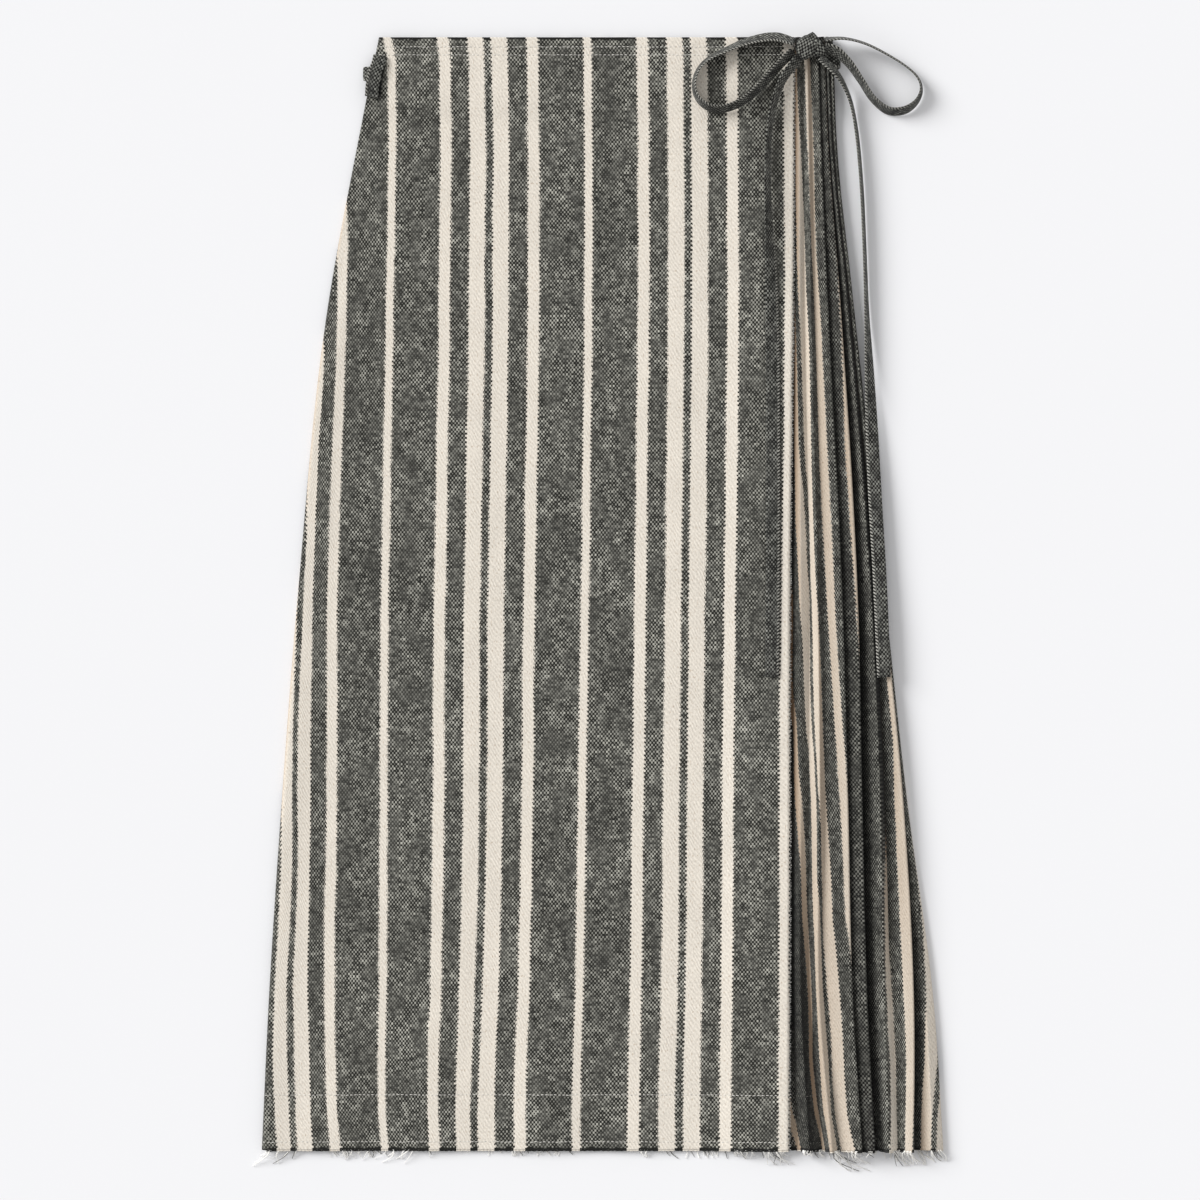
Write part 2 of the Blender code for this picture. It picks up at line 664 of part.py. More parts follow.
def build_skirt():
    clear_scene()
    random.seed(SEED)
    skirt = bpy.data.collections.new("wrap_skirt")
    bpy.context.scene.collection.children.link(skirt)
    heights = np.array(ROWS, float)
    panel("front_panel", front_section(heights, 5, 24), heights, CHARCOAL, skirt)
    panel("pleated_panel", pleated_section(heights, 4), heights, IVORY, skirt)
    panel("back_panel", back_section(heights, 5), heights, CHARCOAL, skirt)
    strip = (TAPE_WIDTH, TAPE_THICKNESS)
    across_y = (0.0, 1.0, 0.0)
    tape("waist_tie", WAIST_TIE, strip, CHARCOAL_DARK, skirt, fixed_side=across_y)
    keeper = (LOOP_WIDTH, LOOP_THICKNESS)
    tape("belt_loop", BELT_LOOP, keeper, CHARCOAL_DARK, skirt, fixed_side=(0.98, -0.2, 0.0))
    tape("bow_loop_left", BOW_LOOP_LEFT, strip, CHARCOAL_DARK, skirt)
    tape("bow_loop_right", BOW_LOOP_RIGHT, strip, CHARCOAL_DARK, skirt)
    tape("tie_tail_left", TIE_TAIL_LEFT, strip, CHARCOAL_DARK, skirt)
    tape("tie_tail_right", TIE_TAIL_RIGHT, strip, CHARCOAL_DARK, skirt)
    knot("bow_knot", CHARCOAL_DARK, skirt)
    skirt_hems(skirt)


build_skirt()
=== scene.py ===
# %% [markdown]
# # Dressing a pleated wrap skirt
# A wrap skirt of yarn-dyed linen lies flat on its back, tied in a bow at the right hip.  The packed
# model gives its plain solids as a fixed frame.  Here each solid gets its looks: a thin wall of
# woven cloth on the same sections, the stitch rows, the ties with their turned edges, the knot and
# the loose threads of the raw hem.  The cells run from top to bottom, as in a notebook.

import bpy
import numpy as np
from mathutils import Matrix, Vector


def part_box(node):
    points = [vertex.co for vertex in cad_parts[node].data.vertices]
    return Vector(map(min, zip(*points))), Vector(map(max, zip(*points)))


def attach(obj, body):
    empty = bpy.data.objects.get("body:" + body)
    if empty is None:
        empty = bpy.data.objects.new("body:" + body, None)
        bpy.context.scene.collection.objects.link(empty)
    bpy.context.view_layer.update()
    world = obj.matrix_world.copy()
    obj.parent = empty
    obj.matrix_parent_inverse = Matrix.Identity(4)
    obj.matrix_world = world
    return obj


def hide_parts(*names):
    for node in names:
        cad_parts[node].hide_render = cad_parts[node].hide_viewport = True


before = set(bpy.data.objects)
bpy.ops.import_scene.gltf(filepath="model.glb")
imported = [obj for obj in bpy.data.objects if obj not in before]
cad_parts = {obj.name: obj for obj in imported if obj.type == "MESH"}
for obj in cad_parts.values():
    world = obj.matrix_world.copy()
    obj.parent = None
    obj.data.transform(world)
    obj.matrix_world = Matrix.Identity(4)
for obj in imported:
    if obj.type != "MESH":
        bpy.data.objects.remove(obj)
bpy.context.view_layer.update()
for startup_name in ("Cube", "Light", "Camera"):
    if startup_name in bpy.data.objects:
        bpy.data.objects.remove(bpy.data.objects[startup_name])

# %% [markdown]
# Sizes are in millimetres and are turned into metres once, when a mesh is made.  "Across" runs
# along X, "up" runs from the hem to the waist, and "lift" is the height over the floor.  The hem's
# place and the skirt's length are read from the frame, so that the cloth can't drift from it.

# %% Units and the skirt's length
MM = 0.001
panel_low, panel_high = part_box("front_panel")
HEM_Y = panel_low.y / MM
SKIRT_LENGTH = (panel_high.y - panel_low.y) / MM
print(f"hem at y = {HEM_Y:.1f} mm, length {SKIRT_LENGTH:.1f} mm")

# %% [markdown]
# ## The form of the cloth
# A pleated skirt is easiest to describe by cross-sections: at each height, the cloth is one line
# that runs over the crests and under the valleys, the way a belt runs over and under pulleys.
# A handful of values at seven heights, joined by smooth curves, gives every section.

# %% Heights and side folds
STATIONS = {"hem": 0, "shin": 120, "knee": 280, "thigh": 440, "hip": 680, "yoke": 800, "waist": 890}
CLOTH = 1.0
GAP = 0.3
LAYER = CLOTH + GAP
BACK_LIFT = CLOTH / 2
LAP_LIFT = BACK_LIFT + LAYER
FRONT_LIFT = LAP_LIFT + LAYER
SEAM_FROM_FOLD = 36.0
LAP_FROM_FOLD = 60.0

LEFT_FOLD = (-270.8, -265.2, -254.8, -242.4, -217.2, -195.2, -177.0)
RIGHT_FOLD = (275.0, 267.0, 246.0, 228.6, 202.8, 189.0, 186.0)
FRONT_EDGE = (151.2, 151.6, 152.0, 152.0, 154.6, 155.2, 155.2)
MIDDLE_ACROSS = (LEFT_FOLD[0] + RIGHT_FOLD[0]) / 2
LEFT_FOLD_RADIUS = (2.6, 2.5, 2.3, 2.0, 1.6, 1.3, 1.3)
RIGHT_FOLD_RADIUS = (2.4, 2.2, 2.0, 1.8, 1.5, 1.2, 1.2)


def cubic_between(start, start_slope, end, end_slope, t):
    """The cubic that leaves start and reaches end with these slopes, for t from 0 to 1."""
    leaving = start * (2 * t**3 - 3 * t**2 + 1) + start_slope * (t**3 - 2 * t**2 + t)
    reaching = end * (3 * t**2 - 2 * t**3) + end_slope * (t**3 - t**2)
    return leaving + reaching


def station_curve(values, heights):
    """A smooth curve through a table's values at the stations: between two of them it is the cubic
    whose slope at each end is that of the values around that end."""
    knots = np.array(list(STATIONS.values()), float)
    values = np.array(values, float)
    slopes = np.gradient(values, knots)
    heights = np.asarray(heights, float)
    here = np.clip(np.searchsorted(knots, heights) - 1, 0, len(knots) - 2)
    there = here + 1
    span = knots[there] - knots[here]
    t = (heights - knots[here]) / span
    return cubic_between(values[here], slopes[here] * span, values[there], slopes[there] * span, t)


def smooth_step(t):
    """0 below 0, 1 above 1, and 3t^2 - 2t^3 between."""
    t = np.clip(t, 0.0, 1.0)
    return t * t * (3 - 2 * t)


print("width at the hem", RIGHT_FOLD[0] - LEFT_FOLD[0], "mm, at the waist", RIGHT_FOLD[-1] - LEFT_FOLD[-1])

# %% [markdown]
# Each pleat fold is one row: whether the cloth runs over it or under it, its radius, then its place
# across and its lift at the seven heights.

# %% Pleat folds
OVER, UNDER = -1, 1
PLEAT_FOLDS = {
    "hidden_ridge": (
        OVER, 1.6,
        (143.0, 142.5, 142.5, 142.5, 143.5, 144.0, 144.0),
        (7.0, 6.0, 5.0, 4.5, 4.0, 3.4, 3.0),
    ),
    "first_valley": (
        UNDER, 0.9,
        (157.6, 154.6, 154.4, 154.2, 154.2, 154.2, 154.0),
        (3.0, 2.6, 2.4, 2.2, 2.0, 1.9, 1.9),
    ),
    "first_crest": (
        OVER, 1.2,
        (167.2, 160.4, 160.4, 160.4, 159.4, 159.2, 158.6),
        (12.0, 10.0, 8.0, 7.5, 6.0, 5.0, 4.5),
    ),
    "second_valley": (
        UNDER, 0.9,
        (178.0, 168.4, 167.2, 167.6, 163.6, 163.0, 161.8),
        (4.5, 4.0, 4.0, 3.5, 3.0, 2.6, 2.4),
    ),
    "second_crest": (
        OVER, 1.0,
        (185.0, 174.8, 175.4, 173.8, 168.4, 166.8, 165.0),
        (14.0, 11.5, 10.0, 9.0, 7.0, 5.5, 5.0),
    ),
    "third_valley": (
        UNDER, 0.9,
        (191.6, 179.4, 180.0, 178.2, 171.8, 169.8, 167.8),
        (7.0, 7.0, 6.0, 5.0, 4.0, 3.0, 2.6),
    ),
    "third_crest": (
        OVER, 0.9,
        (208.0, 200.6, 196.8, 192.4, 180.8, 175.8, 173.0),
        (14.5, 12.5, 11.5, 10.5, 8.5, 7.0, 6.2),
    ),
    "third_tuck": (
        UNDER, 0.8,
        (196.5, 192.0, 190.6, 187.4, 177.6, 174.0, 171.8),
        (3.0, 2.6, 2.6, 2.5, 2.3, 1.9, 1.9),
    ),
    "fourth_crest": (
        OVER, 0.9,
        (218.0, 212.0, 208.0, 204.6, 190.6, 181.6, 177.8),
        (15.0, 13.0, 12.0, 11.0, 9.0, 7.0, 6.2),
    ),
    "fourth_tuck": (
        UNDER, 0.8,
        (206.5, 203.4, 201.6, 199.4, 187.0, 180.0, 176.8),
        (3.0, 2.6, 2.6, 2.5, 2.3, 2.0, 2.0),
    ),
    "fifth_foot": (
        UNDER, 0.75,
        (222.0, 215.0, 210.8, 207.2, 192.8, 183.3, 179.5),
        (2.8, 2.6, 2.6, 2.5, 2.3, 2.0, 2.0),
    ),
    "fifth_crest": (
        OVER, 0.8,
        (230.8, 226.6, 223.4, 216.4, 197.0, 185.3, 181.4),
        (15.0, 13.0, 11.5, 10.0, 8.0, 6.5, 5.8),
    ),
    "fifth_valley": (
        UNDER, 0.75,
        (238.4, 232.6, 228.0, 220.4, 199.2, 187.0, 183.1),
        (7.0, 5.5, 4.8, 4.6, 4.6, 4.4, 4.2),
    ),
    "last_crest": (
        OVER, 0.8,
        (249.4, 249.4, 241.0, 225.4, 201.2, 188.6, 184.8),
        (13.0, 11.5, 10.0, 8.5, 7.0, 6.0, 5.6),
    ),
}
LAST_TUCK = (
    (245.0, 246.0, 238.5, 224.6, 201.6, 189.5, 185.7),
    (6.5, 6.0, 5.6, 5.8, 5.4, 4.9, 4.5),
)
BACK_START = (
    (245.0, 246.0, 236.0, 220.5, 198.2, 185.2, 182.0),
    (2.2, 2.2, 2.2, 2.2, 2.1, 2.0, 2.0),
)
SIDE_RIDGE = (
    (266.0, 260.0, 242.0, 224.6, 200.0, 186.4, 183.2),
    (8.5, 7.0, 5.0, 4.0, 3.3, 2.9, 2.9),
)
SIDE_RIDGE_RADIUS = 1.0
print(len(PLEAT_FOLDS), "pleat folds")

# %% [markdown]
# The belt construction: two neighbouring pulleys share one straight run of cloth, their common
# tangent, and each pulley adds the arc between the run that comes in and the run that goes out.
# The whole panel is worked out at once, with one row of the arrays for each height.

# %% Belt sections
def belt_section(start, pulleys, end, arc_points):
    """Runs a line from start to end over or under each pulley.  start and end are (across, lift),
    a pulley is (across, lift, radius, side).  A run leaves the line of two centres by the angle
    whose sine is the difference of the signed radii over the distance of the centres."""
    stops = [(*start, 0.0, OVER), *pulleys, (*end, 0.0, OVER)]
    runs = []
    for (x0, z0, r0, side0), (x1, z1, r1, side1) in zip(stops, stops[1:]):
        distance = np.hypot(x1 - x0, z1 - z0)
        turn = np.arcsin((side1 * r1 - side0 * r0) / distance)
        runs.append(np.arctan2(z1 - z0, x1 - x0) - turn)
    across, lift = [start[0][:, None]], [start[1][:, None]]
    parts = np.linspace(0.0, 1.0, arc_points)
    for (x, z, radius, side), run_in, run_out in zip(pulleys, runs, runs[1:]):
        turn = run_out - run_in
        turn = turn - 2 * np.pi * np.round((turn - side * np.pi / 2) / (2 * np.pi))
        run = run_in[:, None] + turn[:, None] * parts
        radius = np.reshape(radius, (-1, 1))
        across.append(x[:, None] + side * radius * np.sin(run))
        lift.append(z[:, None] - side * radius * np.cos(run))
    return np.hstack([*across, end[0][:, None]]), np.hstack([*lift, end[1][:, None]])


def pulley(side, radius, across, lift):
    """A pulley whose top, or bottom where the cloth runs under it, has this lift."""
    return across, lift + side * radius, radius, side


def arc_middle(number, arc_points):
    """The column of a belt section that is the middle of the arc on this pulley."""
    return 1 + number * arc_points + arc_points // 2


try_start, try_end = (np.zeros(1), np.zeros(1)), (np.full(1, 10.0), np.zeros(1))
try_pulley = pulley(OVER, 1.0, np.full(1, 5.0), np.full(1, 3.0))
try_lift = belt_section(try_start, [try_pulley], try_end, 5)[1]
print("a belt over one pulley 3 mm high rises to", round(float(try_lift.max()), 3), "mm")

# %% [markdown]
# Cloth that has been worn and laid down is never quite flat.  The creases are listed one row each:
# where a soft ridge starts and ends, how wide it is and how far it lifts the cloth.  A row with a
# negative lift is a trough.  They are shallow, because this is pressed linen.

# %% Creases
FRONT_CREASES = {
    "hip_drag": ((-186.0, 838.0), (-212.0, 640.0), 7.0, 0.9),
    "hip_drag_low": ((-214.0, 655.0), (-226.0, 500.0), 8.0, 0.7),
    "keeper_pull": ((-168.0, 862.0), (-120.0, 838.0), 5.0, 0.6),
    "waist_pucker_one": ((-158.0, 888.0), (-152.0, 850.0), 4.0, 0.7),
    "waist_pucker_two": ((-143.0, 889.0), (-146.0, 858.0), 3.5, -0.3),
    "waist_pucker_three": ((-118.0, 889.0), (-112.0, 862.0), 4.5, 0.5),
    "waist_pucker_four": ((18.0, 889.0), (22.0, 858.0), 5.0, 0.5),
    "waist_pucker_five": ((74.0, 889.0), (70.0, 866.0), 4.0, 0.45),
    "front_roll_left": ((-96.0, 700.0), (-118.0, 180.0), 26.0, 0.9),
    "front_roll_middle": ((-8.0, 610.0), (4.0, 60.0), 30.0, 0.7),
    "front_roll_right": ((66.0, 800.0), (58.0, 360.0), 24.0, 0.8),
    "tie_pull": ((128.0, 872.0), (60.0, 812.0), 9.0, 0.5),
    "knee_crease": ((-190.0, 330.0), (-60.0, 296.0), 9.0, 0.45),
    "lap_crease": ((20.0, 470.0), (104.0, 448.0), 8.0, 0.4),
    "hem_lift_left": ((-206.0, 0.0), (-196.0, 130.0), 16.0, 1.0),
    "hem_lift_middle": ((-30.0, 0.0), (-36.0, 110.0), 18.0, 0.9),
    "hem_lift_right": ((96.0, 0.0), (90.0, 150.0), 15.0, 1.1),
    "hem_dip": ((34.0, 0.0), (30.0, 70.0), 12.0, -0.3),
}
BACK_CREASES = {
    "back_roll_left": ((-70.0, 760.0), (-110.0, 220.0), 28.0, 0.5),
    "back_roll_right": ((90.0, 720.0), (120.0, 120.0), 26.0, 0.6),
    "seat_crease": ((-40.0, 560.0), (96.0, 528.0), 10.0, 0.4),
    "back_hem_lift": ((10.0, 0.0), (4.0, 140.0), 18.0, 0.7),
    "back_hem_lift_left": ((-150.0, 0.0), (-140.0, 120.0), 16.0, 0.6),
}
CREASE_FADE = 0.4


def crease_lift(creases, across, up):
    """The sum of all creases: for each, its lift times a bell curve of the distance to its line,
    times a smooth fade over both ends, half of it beyond them."""
    total = np.zeros(np.broadcast(across, up).shape)
    for (x0, up0), (x1, up1), width, lift in creases.values():
        length = np.hypot(x1 - x0, up1 - up0)
        along = ((across - x0) * (x1 - x0) + (up - up0) * (up1 - up0)) / length
        aside = ((across - x0) * (up1 - up0) - (up - up0) * (x1 - x0)) / length
        part = along / length
        fade_in = smooth_step((part + CREASE_FADE / 2) / CREASE_FADE)
        fade_out = smooth_step((1 + CREASE_FADE / 2 - part) / CREASE_FADE)
        total += lift * np.exp(-((aside / width) ** 2)) * fade_in * fade_out
    return total


print(len(FRONT_CREASES), "creases on the front,", len(BACK_CREASES), "on the back")

# %% [markdown]
# Two rows of topstitching hold the waist and two hold the hem.  Sewing thread shortens the cloth a
# little, so that it sinks along each row and puckers between the stitches.

# %% Stitch rows and their pucker
WAIST_ROWS = (876.0, 882.4)
HEM_ROWS = (6.4, 44.0)
PUCKER_WIDTH = 1.6
PUCKER_DEPTH = 0.22
PUCKER_LENGTH = 8.5
PUCKER_SHARE = 0.4
PUCKER_DRIFT = 2.0
PUCKER_DRIFT_LENGTH = 31.0


def pucker(across, up):
    """A shallow groove along each stitch row: a bell curve across it, deeper and shallower along
    it with a sine whose beat drifts slowly."""
    drift = PUCKER_DRIFT * np.sin(across / PUCKER_DRIFT_LENGTH)
    wave = 1 - PUCKER_SHARE + PUCKER_SHARE * np.sin(2 * np.pi * across / PUCKER_LENGTH + drift)
    rows = sum(np.exp(-(((up - row) / PUCKER_WIDTH) ** 2)) for row in WAIST_ROWS + HEM_ROWS)
    return -PUCKER_DEPTH * rows * wave


print("the cloth sinks up to", PUCKER_DEPTH, "mm along", len(WAIST_ROWS + HEM_ROWS), "stitch rows")

# %% [markdown]
# Near the waist a tie runs behind the back, and every layer lies on it there.  The overlap rises
# to its raw edge, because the first pleats lie under it, and it rises a little into the left fold.

# %% Front, pleats and back as sections
FRONT_RISE_START = 56.0
FRONT_RISE_WIDTH = 44.0
FOLD_RISE_WIDTH = 28.0
RIPPLE_LIFT = 1.2
RIPPLE_TOP = 330.0
RIPPLE_LENGTH = 88.0
WORN_START = 6.0
WORN_WIDTH = 12.0
TOP_START = 1.0
LAP_END_RADIUS = 3.0
LAP_END_REACH = 14.0
BACK_CREASE_SHARE = 0.4
BACK_CREASE_FADE = 0.08
BACK_TURN_RADII = 4
TAPE_WIDTH = 11.0
TAPE_THICKNESS = 1.6
TIE_ROOM = TAPE_THICKNESS + GAP
TIE_ROOM_START = 822.0
TIE_ROOM_FULL = 838.0


def tie_room(heights):
    """How far the layers are raised near the waist by the tie behind the back."""
    return TIE_ROOM * smooth_step((heights - TIE_ROOM_START) / (TIE_ROOM_FULL - TIE_ROOM_START))


def front_lift(across, heights):
    """Lift of the overlap: flat, raised by smooth steps at the left fold and at the raw edge, with
    a cosine ripple near the hem and the creases on top."""
    left = station_curve(LEFT_FOLD, heights)
    radius = station_curve(LEFT_FOLD_RADIUS, heights)
    ridge = PLEAT_FOLDS["hidden_ridge"]
    ridge_across = station_curve(ridge[2], heights)
    edge_rise = station_curve(ridge[3], heights) + LAYER - FRONT_LIFT
    fold_rise = BACK_LIFT + 2 * radius - FRONT_LIFT
    at_fold = 1 - smooth_step((across - left - radius - CLOTH / 2) / FOLD_RISE_WIDTH)
    at_edge = smooth_step((across - ridge_across + FRONT_RISE_START) / FRONT_RISE_WIDTH)
    wave = 0.5 - 0.5 * np.cos(2 * np.pi * (across - left) / RIPPLE_LENGTH)
    fade = (1 - smooth_step(heights / RIPPLE_TOP)) * (1 - at_fold) * (1 - at_edge)
    rise = fold_rise * at_fold + edge_rise * at_edge + RIPPLE_LIFT * wave * fade
    inside = smooth_step((across - left - WORN_START) / WORN_WIDTH)
    worn = (crease_lift(FRONT_CREASES, across, heights) + pucker(across, heights)) * inside
    return FRONT_LIFT + rise + tie_room(heights) + worn


def front_section(heights, arc_points, flat_points):
    """Under the left side from the seam, round the left fold, then across to the raw edge."""
    left = station_curve(LEFT_FOLD, heights)
    radius = station_curve(LEFT_FOLD_RADIUS, heights)
    edge = station_curve(FRONT_EDGE, heights)
    room = tie_room(heights)
    centre = left + CLOTH / 2 + radius
    fold = (centre, BACK_LIFT + radius + room, radius, OVER)
    seam = (left + SEAM_FROM_FOLD, BACK_LIFT + room)
    top_start = (centre + TOP_START, front_lift(centre + TOP_START, heights))
    across, lift = belt_section(seam, [fold], top_start, arc_points)
    parts = np.linspace(0.0, 1.0, flat_points)[1:]
    top_across = top_start[0][:, None] * (1 - parts) + edge[:, None] * parts
    top_lift = front_lift(top_across, heights[:, None] + 0 * top_across)
    return np.hstack([across, top_across]), np.hstack([lift, top_lift])


def pleated_section(heights, arc_points):
    """From the underlap's hidden end, over and under every pleat, to the side seam's tuck."""
    room = tie_room(heights)
    pulleys = []
    for side, radius, across, lift in PLEAT_FOLDS.values():
        place = station_curve(across, heights)
        pulleys.append(pulley(side, radius, place, station_curve(lift, heights) + room))
    lap_end = pulley(UNDER, LAP_END_RADIUS, pulleys[0][0] - LAP_END_REACH, LAP_LIFT + room)
    start = (station_curve(LEFT_FOLD, heights) + LAP_FROM_FOLD, LAP_LIFT + room)
    end = (station_curve(LAST_TUCK[0], heights), station_curve(LAST_TUCK[1], heights) + room)
    return belt_section(start, [lap_end, *pulleys], end, arc_points)


def back_section(heights, arc_points, flat_points):
    """From the side seam under the last pleat, over the side ridge, round the right fold and flat
    along the floor to the seam near the left fold, lifted off it here and there by its creases."""
    room = tie_room(heights)
    radius = station_curve(RIGHT_FOLD_RADIUS, heights)
    right = station_curve(RIGHT_FOLD, heights)
    start = (station_curve(BACK_START[0], heights), station_curve(BACK_START[1], heights) + room)
    ridge_lift = station_curve(SIDE_RIDGE[1], heights) + room
    ridge = pulley(OVER, SIDE_RIDGE_RADIUS, station_curve(SIDE_RIDGE[0], heights), ridge_lift)
    fold = (right - CLOTH / 2 - radius, BACK_LIFT + radius + room, radius, OVER)
    seam = station_curve(LEFT_FOLD, heights) + SEAM_FROM_FOLD + GAP
    turned = right - BACK_TURN_RADII * radius
    across, lift = belt_section(start, [ridge, fold], (turned, BACK_LIFT + room), arc_points)
    parts = np.linspace(0.0, 1.0, flat_points)[1:]
    flat_across = turned[:, None] * (1 - parts) + seam[:, None] * parts
    ends = smooth_step(parts / BACK_CREASE_FADE) * smooth_step((1 - parts) / BACK_CREASE_FADE)
    creases = np.clip(crease_lift(BACK_CREASES, flat_across, heights[:, None]) * ends, 0.0, None)
    free = BACK_CREASE_SHARE * (1 - room[:, None] / TIE_ROOM)
    return np.hstack([across, flat_across]), np.hstack([lift, BACK_LIFT + room[:, None] + creases * free])


waist_room = float(tie_room(np.array([SKIRT_LENGTH]))[0])
print(f"the tie behind the back raises the waist by {waist_room:.1f} mm")

# %% [markdown]
# ## Where the weave runs
# The stripes are woven in, so they must follow the cloth round every fold.  Each point of a panel
# therefore carries its own place on the flat cloth, in millimetres: how far across the stripe
# repeat, and how far up.  These pairs go into a UV map named "cloth", which the materials read.

# %% Stripe places on the panels
REPEAT = 157.5
HALF_REPEAT = REPEAT / 2
STRIPE_UP = (0, 32, 72, 128, 184, 232, 280, 328, 376, 440, 504, 560, 640, 720, 800, 872, 890)
# How far the repeat has run: where that line lies across, at the heights of STRIPE_UP.  A row that
# stops early keeps its last value up to the waist.
FRONT_LINES = {
    -15.5: (
        -258, -259.8, -261.7, -260, -256.6, -254.6, -253, -252.5, -252,
        -251, -249, -247, -240, -252, -258, -261.3, -263,
    ),
    0.0: (
        -244.8, -246.3, -247.7, -248.4, -246, -243.8, -244.6, -244.4, -242.4,
        -238.9, -235.5, -232.6, -226, -238, -243, -246.3, -248,
    ),
    15.5: (
        -230, -231.8, -233, -234.5, -233.6, -232.6, -232, -231.8, -231.2,
        -230.3, -228, -225.7, -220.3, -224, -228, -231.3, -233,
    ),
    35.0: (
        -212, -214.8, -216.2, -216.9, -217.2, -215.8, -215.1, -214.9, -215.1,
        -215, -213.4, -211.2, -207.8, -206.2, -207.5, -211.2, -213,
    ),
    78.75: (
        -172, -175, -174.6, -174, -173.5, -173.4, -173.2, -173.5, -173,
        -172.4, -171.1, -170.4, -168.9, -167.6, -166.4, -166.6, -170,
    ),
    157.5: (
        -100.4, -101, -100, -97.2, -95.9, -94.5, -93.8, -93.2, -93.4,
        -92.8, -91.6, -90.8, -89.3, -89, -88.5, -89.6, -90.2,
    ),
    236.25: (
        -18.9, -19.2, -18.5, -16.7, -15.7, -15.2, -14.4, -14, -13,
        -12.2, -11.1, -10.8, -9.6, -9.1, -9.3, -10, -10.3,
    ),
    315.0: (
        63.6, 63.3, 63.9, 65.2, 65.8, 66.4, 66.5, 67.1, 67.7,
        67.9, 68.8, 69.3, 70.3, 70.6, 70.3, 69.6, 69.2,
    ),
    390.5: (
        142.2, 142.4, 142.3, 142.6, 143.2, 142.9, 143, 143.1, 144,
        144.8, 146, 146.6, 147.5, 147.4, 146.8, 146.5, 146.4,
    ),
    397.0: (
        151.2, 151.3, 151.4, 151.6, 151.7, 151.8, 152, 152, 152,
        152.2, 152.8, 153.4, 154.2, 154.9, 155.2,
    ),
}
PLEAT_LINES = {
    -82.0: (158, 152, 149, 146, 143, 141, 139, 138, 136, 132, 128, 124, 118, 114, 110, 106, 104),
    -39.5: (
        178, 172.8, 168.8, 165.6, 161.4, 160, 156, 155.4, 152,
        148, 146, 144, 140, 138, 136, 133.3, 132,
    ),
    -30.5: (
        181, 174.4, 169.6, 171, 166.2, 164.8, 161.4, 156.8, 154.4,
        154.8, 150, 150, 147, 146, 144, 141.3, 140,
    ),
    -15.5: (
        183.4, 177.6, 175.2, 172, 170.2, 170.6, 170.6, 166.4, 163.2,
        159.6, 156.6, 156.8, 153, 152, 150, 147.3, 146,
    ),
    -3.0: (
        188.6, 184, 182.4, 178, 175.8, 172.4, 172, 169.4, 168.4,
        168, 163.6, 159.2, 156.6, 154, 153, 151, 150,
    ),
    3.0: (
        193, 187.2, 184.6, 180.6, 177.4, 177.2, 175.2, 170.6, 169.6,
        169.6, 168, 164, 160.4, 157.6, 156.8, 154.3, 153,
    ),
    15.5: (
        205, 198.2, 195, 190, 184.4, 182, 180.4, 178.2, 176.4,
        173.4, 169, 169.2, 168, 164.4, 160.2, 156.7, 155,
    ),
    30.5: (
        213, 208, 205, 202.4, 197.2, 193.8, 191, 187.8, 184.4,
        180.6, 177.6, 175, 172.8, 168.8, 166.4, 163.5, 162,
    ),
    39.5: (
        219, 213.6, 209.6, 206.4, 200.2, 200, 198.2, 194.6, 191,
        186.6, 184, 180.8, 176.4, 172.4, 171, 167.7, 166,
    ),
    50.0: (
        227, 221.6, 217.6, 214.4, 209.6, 208, 204.8, 200.8, 197.6,
        194.8, 192.8, 189.6, 184.4, 179.2, 176, 174.3, 173.4,
    ),
}
# How far the repeat has run at a fold, at the same heights.
PLEAT_CHART = {
    "fourth_crest": (64, 64.5, 65.5, 66, 67, 68, 69, 72, 74.5, 77, 79, 80, 76.5, 75),
    "fifth_crest": (117.5, 115, 113, 115.5, 116.5, 115.8, 115),
    "fifth_valley": (129.5, 126, 122.8, 124.8, 128.3, 129.5, 130),
    "last_crest": (156, 154.5, 153.3, 153.5, 154, 153, 151.5, 146, 148, 140, 139, 138, 137, 136, 135),
}
FIFTH_FLANK = (128, 124.5, 122, 123, 121, 118.6, 116)
BACK_CHART = {
    "seam": (-34, -34, -34, -35, -36, -37, -38),
    "ridge": (-0.5, -4.3, -11, -17, -20, -21, -22, -22.5, -23, -24, -24.5, -25, -25, -25.5, -26),
    "fold": (12.5, 8, -1, -8, -13.5, -14.5, -15, -16.5, -18, -19, -20, -20.5, -21, -21.5, -22),
}


def row_at(row, heights, row_up=STRIPE_UP):
    """A table's row at these heights, straight between the heights in row_up, as a column."""
    return np.interp(heights, row_up[:len(row)], row)[:, None]


def run_length(across, lift):
    """The length of cloth from the first point of each section to every other point of it."""
    steps = np.hypot(np.diff(across, axis=1), np.diff(lift, axis=1))
    return np.hstack([np.zeros((len(across), 1)), np.cumsum(steps, axis=1)])


def lined_stripes(across, heights, lines):
    """Between two charted lines the repeat advances in step with the way across, and outside them
    one millimetre for each millimetre."""
    runs = sorted(lines)
    spots = [row_at(lines[run], heights) for run in runs]
    stripes = runs[0] + np.minimum(across - spots[0], 0.0) + np.maximum(across - spots[-1], 0.0)
    for run, next_run, spot, next_spot in zip(runs, runs[1:], spots, spots[1:]):
        stripes = stripes + (next_run - run) * np.clip((across - spot) / (next_spot - spot), 0.0, 1.0)
    return stripes


def front_stripes(section, heights, top_start):
    """On top, the charted lines.  Under the fold the repeat runs on by the length of the cloth."""
    across, lift = section
    stripes = lined_stripes(across, heights, FRONT_LINES)
    length = run_length(across, lift)
    under = stripes[:, [top_start]] - (length[:, [top_start]] - length)
    return np.where(np.arange(across.shape[1]) < top_start, under, stripes)


